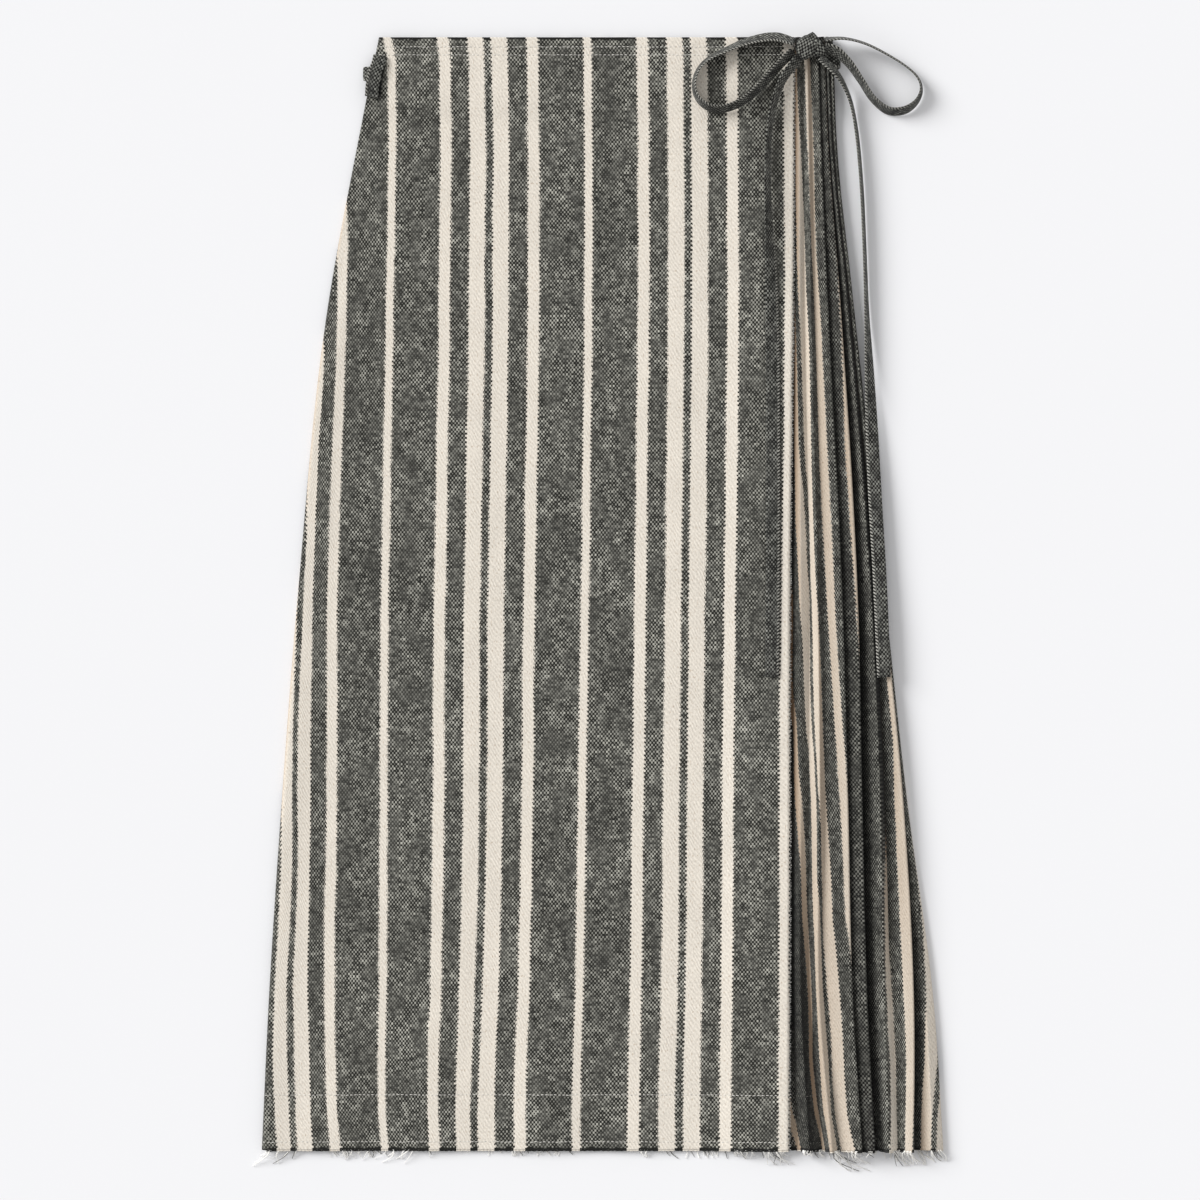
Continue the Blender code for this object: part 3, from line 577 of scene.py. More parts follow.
def charted_stripes(section, chart):
    """Between two charted columns the stripes advance in step with the length of cloth, and beyond
    the first and the last one millimetre for each millimetre."""
    length = run_length(*section)
    columns = sorted(chart)
    stripes = chart[columns[0]] + length - length[:, [columns[0]]]
    for here, there in zip(columns, columns[1:]):
        part = (length - length[:, [here]]) / (length[:, [there]] - length[:, [here]])
        between = chart[here] * (1 - part) + chart[there] * part
        inside = slice(here, there + 1)
        stripes[:, inside] = between[:, inside]
    last = columns[-1]
    stripes[:, last:] = (chart[last] + length - length[:, [last]])[:, last:]
    return stripes


print(len(FRONT_LINES), "charted lines on the overlap,", len(PLEAT_LINES), "on the pleats")

# %% [markdown]
# Real pleats are deeper than their drawn sections: beside each crest the cloth drops out of sight,
# and hardly any light comes back.  So a second map, "fold", holds painted shade: how dark a place
# is painted for how deep it would lie in its fold.  The painted shade is darkest just past the
# crest on its left and fades towards its own crest.

# %% Painted shade in the folds
# For each crest: how dark the painted shade is just past the crest before it, and how dark it is
# on this crest, at the heights of SHADE_HEIGHTS.
SHADE_HEIGHTS = (34.0, 110.0, 320.0)
FOLD_LIP = 0.6
PAINTED_FOLD_SHADES = {
    "first_crest": ((0.5, 1.0, 1.0), (0.72, 0.75, 0.42)),
    "second_crest": ((0.9, 0.95, 0.2), (0.4, 0.4, 0.26)),
    "third_crest": ((0.35, 0.35, 0.5), (0.22, 0.22, 0.25)),
    "fourth_crest": ((1.0, 1.0, 1.0), (0.5, 0.48, 0.36)),
    "fifth_crest": ((1.0, 1.0, 1.0), (0.05, 0.1, 0.3)),
    "last_crest": ((0.0, 0.1, 0.85), (0.3, 0.3, 0.3)),
}


def painted_fold_shade(across, crests, first_edge):
    """Painted shade for every stretch up to a crest: from its deep value just past the crest before
    it to its own crest's value, in step with the way that is left."""
    depth = np.zeros(across.shape)
    before, start = first_edge, 0
    for column, deep, own in crests:
        here = across[:, [column]]
        left = 1 - np.clip((across - before - FOLD_LIP) / (here - before - FOLD_LIP), 0.0, 1.0)
        stretch = slice(start, column + 1)
        depth[:, stretch] = (own + (deep - own) * left)[:, stretch]
        before, start = here, column + 1
    return depth


print("fold depths for", len(PAINTED_FOLD_SHADES), "crests")

# %% [markdown]
# Every panel is a grid: a row of points for each height and a column for each place along the
# section.  The rows stand closer together where the stitching puckers the cloth.  A Solidify
# modifier turns the surface into a wall as thick as the cloth.

# %% Meshes from grids
WALL = 0.9
ROW_STEP = 6.0
ROW_ROOM = 1.0
FINE_ROWS = (
    0, 1.2, 2.4, 4, 5.4, 6.4, 7.4, 9, 11, 42, 43, 44, 45, 46,
    868, 870, 872, 874, 875, 876, 877, 878.5, 880, 881.4, 882.4, 883.4, 885, 886.6, 888, 889,
)


def cloth_rows():
    """Heights from hem to waist: an even step, but for the steps next to a fine row, and the fine
    rows round the stitching."""
    even = np.arange(0.0, SKIRT_LENGTH, ROW_STEP)
    fine = np.array(FINE_ROWS, float)
    clear = even[np.abs(even[:, None] - fine).min(axis=1) > ROW_ROOM]
    return np.sort(np.concatenate([clear, fine, [SKIRT_LENGTH]]))


def place(across, up, lift):
    """Points in metres from places in millimetres: across is counted from midway between the side
    folds at the hem, up from the hem and lift from the floor."""
    spots = np.broadcast_arrays(across - MIDDLE_ACROSS, up + HEM_Y, lift)
    return (np.stack(spots, axis=-1) * MM).reshape(-1, 3)


def grid_faces(rows, columns, round_columns=False):
    """Quads between neighbours of a grid; round_columns joins the last column to the first."""
    index = np.arange(rows * columns).reshape(rows, columns)
    if round_columns:
        index = np.hstack([index, index[:, :1]])
    corners = (index[:-1, :-1], index[:-1, 1:], index[1:, 1:], index[1:, :-1])
    return np.stack(corners, axis=-1).reshape(-1, 4)


def tube_faces(rings, sides, count=1):
    """The faces of closed tubes whose points follow each other, each a grid of rings: the quads of
    every tube, then its two ends."""
    shift = np.arange(count)[:, None, None] * rings * sides
    quads = grid_faces(rings, sides, round_columns=True) + shift
    ends = np.stack([np.arange(sides)[::-1], np.arange(sides) + (rings - 1) * sides]) + shift
    return quads.reshape(-1, 4).tolist() + ends.reshape(-1, sides).tolist()


def round_turn(sides):
    """The angles of the corners of a ring."""
    return np.linspace(0.0, 2 * np.pi, sides, endpoint=False)


def unit(vectors):
    """Each vector divided by its length."""
    return vectors / np.linalg.norm(vectors, axis=-1, keepdims=True)


def path_length(middle):
    """The length of a path from its first point to each of its points."""
    return np.concatenate([[0.0], np.cumsum(np.linalg.norm(np.diff(middle, axis=0), axis=1))])


def dress(piece, node=None):
    """Puts a piece on the skirt's one body, and in the place of its node if it stands for one."""
    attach(piece, "root")
    if node:
        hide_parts(node)


def new_piece(name, points, faces, materials, cloth_place=None, face_materials=None, depth=None):
    """A mesh object from arrays, with its materials, its cloth map, its "fold" map of painted shade
    and smooth shading."""
    mesh = bpy.data.meshes.new(name)
    mesh.from_pydata(points.tolist(), [], [list(face) for face in faces])
    corners = np.zeros(len(mesh.loops), int)
    mesh.loops.foreach_get("vertex_index", corners)
    no_place = np.zeros((len(points), 2))
    # The "fold" map holds painted shade: how dark each point is painted.
    painted_shade_place = no_place if depth is None else np.stack([depth, depth], axis=-1)
    maps = {"cloth": no_place if cloth_place is None else cloth_place, "fold": painted_shade_place}
    for label, values in maps.items():
        layer = mesh.uv_layers.new(name=label)
        layer.data.foreach_set("uv", np.asarray(values, np.float32)[corners].ravel())
    for material in materials:
        mesh.materials.append(material)
    if face_materials is not None:
        mesh.polygons.foreach_set("material_index", np.asarray(face_materials, np.int32))
    mesh.shade_smooth()
    piece = bpy.data.objects.new(name, mesh)
    bpy.context.scene.collection.objects.link(piece)
    return piece


def cloth_panel(node, section, stripes, heights, material, depth):
    """The cloth of one node on its section: the grid, the stripe places and the Solidify wall."""
    across, lift = section
    up = np.broadcast_to(heights[:, None], across.shape)
    cloth_place = np.stack([stripes, up], axis=-1).reshape(-1, 2)
    points = place(across, up, lift)
    faces = grid_faces(*across.shape)
    # depth is the painted shade for the fold map.
    piece = new_piece(f"{node}_cloth", points, faces, [material], cloth_place, depth=depth.ravel())
    wall = piece.modifiers.new("wall", "SOLIDIFY")
    wall.thickness = WALL * MM
    wall.offset = 0.0
    wall.use_even_offset = True
    dress(piece, node)
    print(f"{node}: {len(faces)} faces before its wall")
    return piece


heights = cloth_rows()
print(len(heights), "rows of cloth from hem to waist")

# %% [markdown]
# ## Node helpers
# Shader nodes are easier to read as short sums.  `calc` adds a Math node and gives back its
# output, `add` adds any node and joins its inputs, `cloth_noise` makes soft spots of a stated size,
# and `new_group` starts a shader node group with named sockets, so that several materials can share
# one effect.

# %% Helpers for shader nodes
def feed(tree, socket, value):
    """Links an output into the socket, or sets the socket's own value."""
    if isinstance(value, bpy.types.NodeSocket):
        tree.links.new(value, socket)
    elif value is not None:
        socket.default_value = value


def add(tree, kind, inputs=None, **settings):
    """Adds a node of this kind with these settings and inputs."""
    made = tree.nodes.new(kind)
    for name, value in settings.items():
        setattr(made, name, value)
    for name, value in (inputs or {}).items():
        feed(tree, made.inputs[name], value)
    return made


def calc(tree, operation, *values, clamp=False):
    """One Math node, as its output."""
    inputs = dict(enumerate(values))
    return add(tree, "ShaderNodeMath", inputs, operation=operation, use_clamp=clamp).outputs[0]


def soft_mask(tree, value, low, high):
    """0 where the value is under low, 1 where it is over high, smooth between."""
    inputs = {"Value": value, "From Min": low, "From Max": high}
    return add(tree, "ShaderNodeMapRange", inputs, interpolation_type="SMOOTHSTEP").outputs["Result"]


def noise(tree, across, along, detail=0.0):
    """Smooth noise from 0 to 1 at a place given by two numbers."""
    spot = add(tree, "ShaderNodeCombineXYZ", {0: across, 1: along})
    inputs = {"Vector": spot.outputs[0], "Scale": 1.0, "Detail": detail}
    return add(tree, "ShaderNodeTexNoise", inputs, noise_dimensions="2D").outputs[0]


def cloth_noise(tree, across, along, size, detail=1.0):
    """Smooth noise over the cloth, whose spots have this width and length in millimetres."""
    width, length = size
    return noise(tree, calc(tree, "DIVIDE", across, width), calc(tree, "DIVIDE", along, length), detail)


def two_parts(tree, place_on_cloth):
    """The two numbers of a place on the cloth map: across and along."""
    parts = add(tree, "ShaderNodeSeparateXYZ", {0: place_on_cloth}).outputs
    return parts[0], parts[1]


def mix_colour(tree, part, first, second):
    """Mixes two colours by a part from 0 to 1."""
    inputs = {0: part, 6: first, 7: second}
    return add(tree, "ShaderNodeMix", inputs, data_type="RGBA").outputs[2]


def scale_colour(tree, colour, amount):
    """A colour made lighter or darker by a factor."""
    inputs = {0: colour, "Scale": amount}
    return add(tree, "ShaderNodeVectorMath", inputs, operation="SCALE").outputs[0]


def new_group(name, inputs, outputs):
    """A shader node group with these named sockets, its inputs and its outputs."""
    group = bpy.data.node_groups.new(name, "ShaderNodeTree")
    for way, sockets in (("INPUT", inputs), ("OUTPUT", outputs)):
        for label, kind in sockets.items():
            group.interface.new_socket(label, in_out=way, socket_type=kind)
    return group, group.nodes.new("NodeGroupInput").outputs, group.nodes.new("NodeGroupOutput").inputs


def use_group(tree, group, inputs):
    """Places a group in a tree, as its outputs."""
    return add(tree, "ShaderNodeGroup", inputs, node_tree=group).outputs


VECTOR, COLOUR, NUMBER = "NodeSocketVector", "NodeSocketColor", "NodeSocketFloat"
print("socket kinds:", VECTOR, COLOUR, NUMBER)

# %% [markdown]
# ## The stripe chart
# The stripes are set by the order of the warp yarns, and the order is a mirror image about the
# narrow charcoal stripe.  So the chart needs only half a repeat: the distance to the nearest
# narrow stripe goes through a colour ramp with hard steps.  Each weft row shifts the border by
# part of a yarn, which gives the fine sawtooth that woven stripes have.

# %% Stripe chart group
WARP_PITCH = 1.4
WEFT_PITCH = 1.75
IVORY_BANDS = ((3.0, 15.5), (30.5, 39.5), (75.5, 80.0))
BORDER_REACH = 1.3
BORDER_TEETH = 0.42
BORDER_JITTER = 0.5
BORDER_WANDER = 1.2
WANDER_ZONE = 9.0
WANDER_LENGTH = 55.0
ZONE_SHIFT = 0.31


def chart_ramp(tree, distance, spread):
    """1 where the distance to the nearest narrow stripe lies in an ivory band made wider by this
    spread, 0 elsewhere, with hard steps."""
    ramp = add(tree, "ShaderNodeValToRGB", {0: calc(tree, "DIVIDE", distance, HALF_REPEAT)})
    chart = ramp.color_ramp
    chart.interpolation = "CONSTANT"
    chart.elements.remove(chart.elements[1])
    chart.elements[0].color = (0, 0, 0, 1)
    for start, end in IVORY_BANDS:
        for stop, ivory in ((start - spread, 1.0), (end + spread, 0.0)):
            if stop < HALF_REPEAT:
                chart.elements.new(stop / HALF_REPEAT).color = (ivory, ivory, ivory, 1)
    return ramp.outputs["Color"]


def stripe_chart_group():
    """Folds the place across into half a repeat and looks it up in the chart of ivory bands."""
    outputs = {"Ivory": NUMBER, "Border": NUMBER}
    group, given, result = new_group("stripe_chart", {"Cloth": VECTOR}, outputs)
    across, along = two_parts(group, given["Cloth"])
    row = calc(group, "FLOOR", calc(group, "DIVIDE", along, WEFT_PITCH))
    jitter = add(group, "ShaderNodeTexWhiteNoise", {"W": row}, noise_dimensions="1D").outputs["Value"]
    jitter = calc(group, "MULTIPLY", calc(group, "SUBTRACT", jitter, 0.5), BORDER_JITTER)
    teeth = calc(group, "COSINE", calc(group, "MULTIPLY", row, np.pi))
    jitter = calc(group, "MULTIPLY_ADD", teeth, BORDER_TEETH, jitter)
    zone = calc(group, "FLOOR", calc(group, "DIVIDE", across, WANDER_ZONE))
    own_place = calc(group, "MULTIPLY", zone, ZONE_SHIFT)
    wander = noise(group, own_place, calc(group, "DIVIDE", along, WANDER_LENGTH), 1.0)
    wander = calc(group, "MULTIPLY", calc(group, "SUBTRACT", wander, 0.5), BORDER_WANDER)
    shifted = calc(group, "ADD", calc(group, "ADD", across, jitter), wander)
    turned = calc(group, "FLOORED_MODULO", calc(group, "ADD", shifted, HALF_REPEAT), REPEAT)
    distance = calc(group, "ABSOLUTE", calc(group, "SUBTRACT", turned, HALF_REPEAT))
    group.links.new(chart_ramp(group, distance, 0.0), result["Ivory"])
    group.links.new(chart_ramp(group, distance, BORDER_REACH), result["Border"])
    return group


stripe_chart = stripe_chart_group()
print("stripe chart over a repeat of", REPEAT, "mm")

# %% [markdown]
# ## The two weaves
# Charcoal cloth is a plain weave of near-black warp and pale weft: where the weft passes over, a
# light dot shows, and where the warp does, a dark one.  The product of two cosines has exactly this
# checkerboard of hills and hollows.  Yarn-dyed linen is uneven: in some patches the dots are crisp,
# in others they run together into dull grey rows, and thick places (slubs) draw light dashes.

# %% Plain weave group
# Width and length of the spots of each unevenness, in millimetres.
DRIFT_SPOTS = (48.0, 60.0)
PATCH_SPOTS = (13.0, 21.0)
CLOUD_SPOTS = (38.0, 70.0)
SLUB_LENGTH = 6.0
STREAK_LENGTH = 11.0
# Each yarn reads the noise this far from its neighbour, so that it has slubs of its own.
WEFT_SHIFT = 7.37
WARP_SHIFT = 5.71
WEFT_DRIFT = 1.6
UNEVEN = 0.9
DOT_EDGE = (-0.2, 0.5)
PATCH_EDGE = (0.3, 0.62)
LEAST_CRISP = 0.4
# What a noise adds to the brightness, and the brightness without it.
CLOUD_LIGHT = (0.7, 0.65)
DULL_LIGHT = (1.6, 0.2)
DOT_LIGHT = 2.0


def plain_weave_group():
    """Light dots where cos(pi x) cos(pi y) is over a threshold, x and y counted in yarns, mixed
    with dull rows by a patchy noise."""
    inputs = {"Cloth": VECTOR, "Warp": COLOUR, "Weft": COLOUR, "Dull": COLOUR, "Crisp": NUMBER}
    group, given, result = new_group("plain_weave", inputs, {"Color": COLOUR, "Height": NUMBER})
    across, along = two_parts(group, given["Cloth"])
    drift = cloth_noise(group, across, along, DRIFT_SPOTS, 0.0)
    warp_count = calc(group, "ADD", calc(group, "DIVIDE", across, WARP_PITCH), drift)
    weft_count = calc(group, "MULTIPLY_ADD", drift, WEFT_DRIFT, calc(group, "DIVIDE", along, WEFT_PITCH))
    own_weft = calc(group, "MULTIPLY", calc(group, "ROUND", weft_count), WEFT_SHIFT)
    own_warp = calc(group, "MULTIPLY", calc(group, "ROUND", warp_count), WARP_SHIFT)
    slub = noise(group, calc(group, "DIVIDE", across, SLUB_LENGTH), own_weft, 1.0)
    streak = noise(group, own_warp, calc(group, "DIVIDE", along, STREAK_LENGTH), 1.0)
    patch = cloth_noise(group, across, along, PATCH_SPOTS)
    cloud = cloth_noise(group, across, along, CLOUD_SPOTS)
    hill = calc(
        group, "MULTIPLY",
        calc(group, "COSINE", calc(group, "MULTIPLY", warp_count, np.pi)),
        calc(group, "COSINE", calc(group, "MULTIPLY", weft_count, np.pi)),
    )
    uneven = calc(group, "MULTIPLY", calc(group, "SUBTRACT", slub, streak), UNEVEN)
    shows = soft_mask(group, calc(group, "ADD", hill, uneven), *DOT_EDGE)
    level = calc(group, "MULTIPLY_ADD", cloud, *CLOUD_LIGHT)
    light = calc(group, "MULTIPLY", calc(group, "MULTIPLY", slub, DOT_LIGHT), level)
    weft_colour = scale_colour(group, given["Weft"], light)
    dots = mix_colour(group, shows, given["Warp"], weft_colour)
    dull = calc(group, "MULTIPLY", calc(group, "MULTIPLY_ADD", slub, *DULL_LIGHT), level)
    crisper = calc(group, "SUBTRACT", given["Crisp"], 0.5)
    crisp = calc(group, "ADD", soft_mask(group, patch, *PATCH_EDGE), crisper, clamp=True)
    crisp = calc(group, "MULTIPLY_ADD", crisp, 1 - LEAST_CRISP, LEAST_CRISP)
    colour = mix_colour(group, crisp, scale_colour(group, given["Dull"], dull), dots)
    group.links.new(colour, result["Color"])
    group.links.new(calc(group, "ABSOLUTE", hill), result["Height"])
    return group


plain_weave = plain_weave_group()
print("plain weave of", WARP_PITCH, "by", WEFT_PITCH, "mm")

# %% [markdown]
# The ivory bands are woven closer, as a fine twill with its slant of small ribs, from undyed yarn
# with a few darker straw flecks.

# %% Twill weave group
TWILL_ACROSS = 3.1
TWILL_ALONG = 4.2
BEND_SPOTS = (8.0, 12.0)
GRAIN_SPOTS = (1.3, 1.9)
SHADE_SPOTS = (18.0, 34.0)
FLECK_SPOTS = (1.1, 2.6)
RIB_BEND = 1.2
# The brightness of the yarn on its own, and what ribs, grain and slow shades add to it.
YARN_LIGHT = 0.72
RIB_LIGHT = 0.05
GRAIN_LIGHT = 0.44
SHADE_LIGHT = 0.12
FLECK_EDGE = (0.72, 0.84)
FLECK_SHARE = 0.5


def slanted(tree, across, along, width, length):
    """Counts slanted lines: one for each width across plus one for each length along."""
    return calc(tree, "ADD", calc(tree, "DIVIDE", across, width), calc(tree, "DIVIDE", along, length))


def twill_group():
    """A slanted sine for the ribs, fine noise for the yarns and a few flecks."""
    inputs = {"Cloth": VECTOR, "Yarn": COLOUR, "Fleck": COLOUR}
    group, given, result = new_group("ivory_twill", inputs, {"Color": COLOUR, "Height": NUMBER})
    across, along = two_parts(group, given["Cloth"])
    bend = cloth_noise(group, across, along, BEND_SPOTS, 0.0)
    slant = slanted(group, across, along, TWILL_ACROSS, TWILL_ALONG)
    slant = calc(group, "MULTIPLY_ADD", bend, RIB_BEND, slant)
    rib = calc(group, "SINE", calc(group, "MULTIPLY", slant, 2 * np.pi))
    level = calc(group, "MULTIPLY_ADD", rib, RIB_LIGHT, YARN_LIGHT)
    level = calc(group, "MULTIPLY_ADD", cloth_noise(group, across, along, GRAIN_SPOTS), GRAIN_LIGHT, level)
    level = calc(group, "MULTIPLY_ADD", cloth_noise(group, across, along, SHADE_SPOTS), SHADE_LIGHT, level)
    yarn = scale_colour(group, given["Yarn"], level)
    fleck_spot = cloth_noise(group, across, along, FLECK_SPOTS, 0.0)
    fleck = calc(group, "MULTIPLY", soft_mask(group, fleck_spot, *FLECK_EDGE), FLECK_SHARE)
    group.links.new(mix_colour(group, fleck, yarn, given["Fleck"]), result["Color"])
    group.links.new(calc(group, "MULTIPLY_ADD", rib, 0.5, 0.5), result["Height"])
    return group


ivory_twill = twill_group()
print("twill:", ivory_twill.name, "with ribs", TWILL_ACROSS, "mm apart")

# %% [markdown]
# ## The cloth's material
# One material serves all three panels.  It reads the cloth map, asks the chart whether the place is
# ivory, mixes the two weaves and darkens them by the painted shade of the fold map.  Along the hem
# and the waist edge the charcoal turns almost black, because there the dark warp ends lie bare.
# Linen is matt, with a faint sheen of short fibres, so the sheen is set low and rough on the shader
# itself.

# %% Striped cloth
WARP_BLACK = (0.010, 0.010, 0.008, 1.0)
WEFT_GREY = (0.29, 0.285, 0.25, 1.0)
DULL_GREY = (0.068, 0.067, 0.059, 1.0)
IVORY = (0.71, 0.655, 0.575, 1.0)
STRAW = (0.40, 0.30, 0.21, 1.0)
BARE_EDGE = 2.6
RAGGED_EDGE = 4.5
RAGGED_SPOTS = (7.0, 400.0)
CLOTH_ROUGHNESS = 0.88
CLOTH_SHEEN = 0.12
CLOTH_BUMP = 0.25
# Beside an ivory band the dots are crisper and their weft is paler.
BORDER_CRISP = 0.5
BORDER_PALE = 0.45
# Powers by which painted shade darkens red, green and blue, in charcoal and in ivory.
# Light that bounces between pale walls turns warm, so red fades less in an ivory fold.
DARK_FOLD = (1.0, 1.0, 1.0)
PALE_FOLD = (0.8, 1.0, 1.2)


def cloth_shader(name, roughness, sheen):
    """A new material with a matt cloth shader, and its tree and shader."""
    material = bpy.data.materials.new(name)
    material.use_nodes = True
    tree = material.node_tree
    shader = tree.nodes["Principled BSDF"]
    inputs = {
        "Roughness": roughness,
        "Specular IOR Level": 0.2,
        "Sheen Weight": sheen,
        "Sheen Roughness": 0.5,
    }
    for name, value in inputs.items():
        shader.inputs[name].default_value = value
    return material, tree, shader


def weave_bump(tree, shader, height, depth):
    """Lets a height from 0 to 1 bump the surface by a depth in millimetres."""
    bump = add(tree, "ShaderNodeBump", {"Strength": 0.6, "Distance": depth * MM, "Height": height})
    tree.links.new(bump.outputs["Normal"], shader.inputs["Normal"])


def with_painted_shade(tree, colour, powers):
    """A colour darkened by painted shade: times 1 less the value in the fold map, to a power for each
    of red, green and blue."""
    fold = add(tree, "ShaderNodeUVMap", uv_map="fold").outputs["UV"]
    left = calc(tree, "SUBTRACT", 1.0, two_parts(tree, fold)[0])
    channels = {number: calc(tree, "POWER", left, power) for number, power in enumerate(powers)}
    light = add(tree, "ShaderNodeCombineXYZ", channels).outputs[0]
    return add(tree, "ShaderNodeVectorMath", {0: colour, 1: light}, operation="MULTIPLY").outputs[0]


def striped_cloth_material():
    """Stripe chart, the two weaves, the bare edge at hem and waist and the painted shade of the folds."""
    material, tree, shader = cloth_shader("striped_cloth", CLOTH_ROUGHNESS, CLOTH_SHEEN)
    cloth_place = add(tree, "ShaderNodeUVMap", uv_map="cloth").outputs["UV"]
    chart = use_group(tree, stripe_chart, {"Cloth": cloth_place})
    ivory = chart["Ivory"]
    crisp = calc(tree, "ADD", chart["Border"], BORDER_CRISP)
    weft = mix_colour(tree, calc(tree, "MULTIPLY", chart["Border"], BORDER_PALE), WEFT_GREY, IVORY)
    yarns = {"Cloth": cloth_place, "Warp": WARP_BLACK, "Weft": weft, "Dull": DULL_GREY, "Crisp": crisp}
    charcoal = use_group(tree, plain_weave, yarns)
    twill = use_group(tree, ivory_twill, {"Cloth": cloth_place, "Yarn": IVORY, "Fleck": STRAW})
    across, along = two_parts(tree, cloth_place)
    to_edge = calc(tree, "MINIMUM", along, calc(tree, "SUBTRACT", SKIRT_LENGTH, along))
    ragged = cloth_noise(tree, across, along, RAGGED_SPOTS, 2.0)
    to_edge = calc(tree, "MULTIPLY_ADD", calc(tree, "SUBTRACT", 0.5, ragged), RAGGED_EDGE, to_edge)
    woven = soft_mask(tree, to_edge, BARE_EDGE / 2, BARE_EDGE)
    dyed = mix_colour(tree, woven, WARP_BLACK, charcoal["Color"])
    # Painted shade from the fold map darkens both weaves.
    dyed = with_painted_shade(tree, dyed, DARK_FOLD)
    pale = with_painted_shade(tree, twill["Color"], PALE_FOLD)
    tree.links.new(mix_colour(tree, ivory, dyed, pale), shader.inputs["Base Color"])
    heights_of_weaves = {0: ivory, 2: charcoal["Height"], 3: twill["Height"]}
    height = add(tree, "ShaderNodeMix", heights_of_weaves, data_type="FLOAT").outputs[0]
    weave_bump(tree, shader, height, CLOTH_BUMP)
    return material


striped_cloth = striped_cloth_material()
print("striped cloth:", len(striped_cloth.node_tree.nodes), "nodes")

# %% [markdown]
# ## The three panels
# The overlap lies on top, from the left side seam under the fold to its raw edge.

# %% Front panel
ARC_POINTS = 9
FRONT_COLUMNS = 150
# Two bands of painted shade along the left fold: how dark each is, and how wide.
FOLD_SHADES = ((0.5, 3.4), (0.3, 1.4))
front = front_section(heights, ARC_POINTS, FRONT_COLUMNS)
front_map = front_stripes(front, heights, ARC_POINTS + 1)
past_fold = front[0] - station_curve(LEFT_FOLD, heights)[:, None] + CLOTH / 2
front_painted_shade = sum(dark * (1 - smooth_step(past_fold / width)) for dark, width in FOLD_SHADES)
front_panel = cloth_panel("front_panel", front, front_map, heights, striped_cloth, front_painted_shade)

# %% [markdown]
# The underlap and the soft pleats are one length of cloth.  Each crest and valley knows how far the
# stripe repeat has run, so every pleat shows the band that the folded cloth would show.

# %% Pleated panel
PLEAT_ARC_POINTS = 7
pleats = pleated_section(heights, PLEAT_ARC_POINTS)
fold_column = {name: arc_middle(number + 1, PLEAT_ARC_POINTS) for number, name in enumerate(PLEAT_FOLDS)}
pleat_lines = lined_stripes(pleats[0], heights, PLEAT_LINES)
pleat_chart = {fold_column[name]: row_at(row, heights) for name, row in PLEAT_CHART.items()}
lined = slice(fold_column["first_valley"], fold_column["third_crest"] + 1)
for name in ("first_valley", "third_crest"):
    pleat_chart[fold_column[name]] = pleat_lines[:, [fold_column[name]]]
flank = fold_column["fifth_valley"] - PLEAT_ARC_POINTS // 2
pleat_chart[flank] = row_at(FIFTH_FLANK, heights)
pleat_map = charted_stripes(pleats, pleat_chart)
pleat_map[:, lined] = pleat_lines[:, lined]
print(f"at the hem the pleats take up {pleat_map[0].max() - pleat_map[0].min():.0f} mm of the stripe repeat")

# %% [markdown]
# Painted shade darkens the cloth past the last crest, which hangs over its own tuck, and above
# the knee painted shade closes the fifth valley to a dark line.

# %% Painted shade of the pleats, and their cloth
OVERHANG_PAINTED_SHADE = 0.8
TUCK_PAINTED_SHADE = 0.97
TUCK_START = 200.0
TUCK_FADE = 60.0
crests = []
for name, depths in PAINTED_FOLD_SHADES.items():
    deep, own = (row_at(row, heights, SHADE_HEIGHTS) for row in depths)
    crests.append((fold_column[name], deep, own))
pleat_painted_shade = painted_fold_shade(pleats[0], crests, station_curve(FRONT_EDGE, heights)[:, None])
pleat_painted_shade[:, fold_column["last_crest"] + 1:] = OVERHANG_PAINTED_SHADE
tucked = slice(flank, fold_column["fifth_valley"] + 1)
tucked_painted_shade = TUCK_PAINTED_SHADE * smooth_step((heights[:, None] - TUCK_START) / TUCK_FADE)
pleat_painted_shade[:, tucked] = np.maximum(pleat_painted_shade[:, tucked], tucked_painted_shade)
pleated_panel = cloth_panel("pleated_panel", pleats, pleat_map, heights, striped_cloth, pleat_painted_shade)

# %% [markdown]
# The back shows from above only as a narrow band at the right side.  From below it is the whole
# skirt, so it has its stripes, creases and stitch rows too.

# %% Back panel
BACK_COLUMNS = 100
# How dark the painted shade in the fold before each place is at its deepest, and how dark the
# place itself is painted.
BACK_PAINTED_SHADES = {"ridge": (0.95, 0.2), "fold": (0.1, 0.1)}
back = back_section(heights, ARC_POINTS, BACK_COLUMNS)
back_column = {"seam": 0, "ridge": arc_middle(0, ARC_POINTS), "fold": arc_middle(1, ARC_POINTS)}
back_chart = {back_column[name]: row_at(row, heights) for name, row in BACK_CHART.items()}
back_map = charted_stripes(back, back_chart)
last_crest_across = station_curve(PLEAT_FOLDS["last_crest"][2], heights)[:, None]
back_stops = [(back_column[name], *depths) for name, depths in BACK_PAINTED_SHADES.items()]
back_painted_shade = painted_fold_shade(back[0], back_stops, last_crest_across)
back_panel = cloth_panel("back_panel", back, back_map, heights, striped_cloth, back_painted_shade)

# %% [markdown]
# ## Ties
# The ties are strips of the same cloth, folded lengthwise and topstitched, 11 mm wide.  A tie is a
# flat oval carried along a path.  Each row of a path gives its middle line and its lean, which is
# how far the edge on its left is raised: a bow's loops stand almost on edge, the tails lie down.

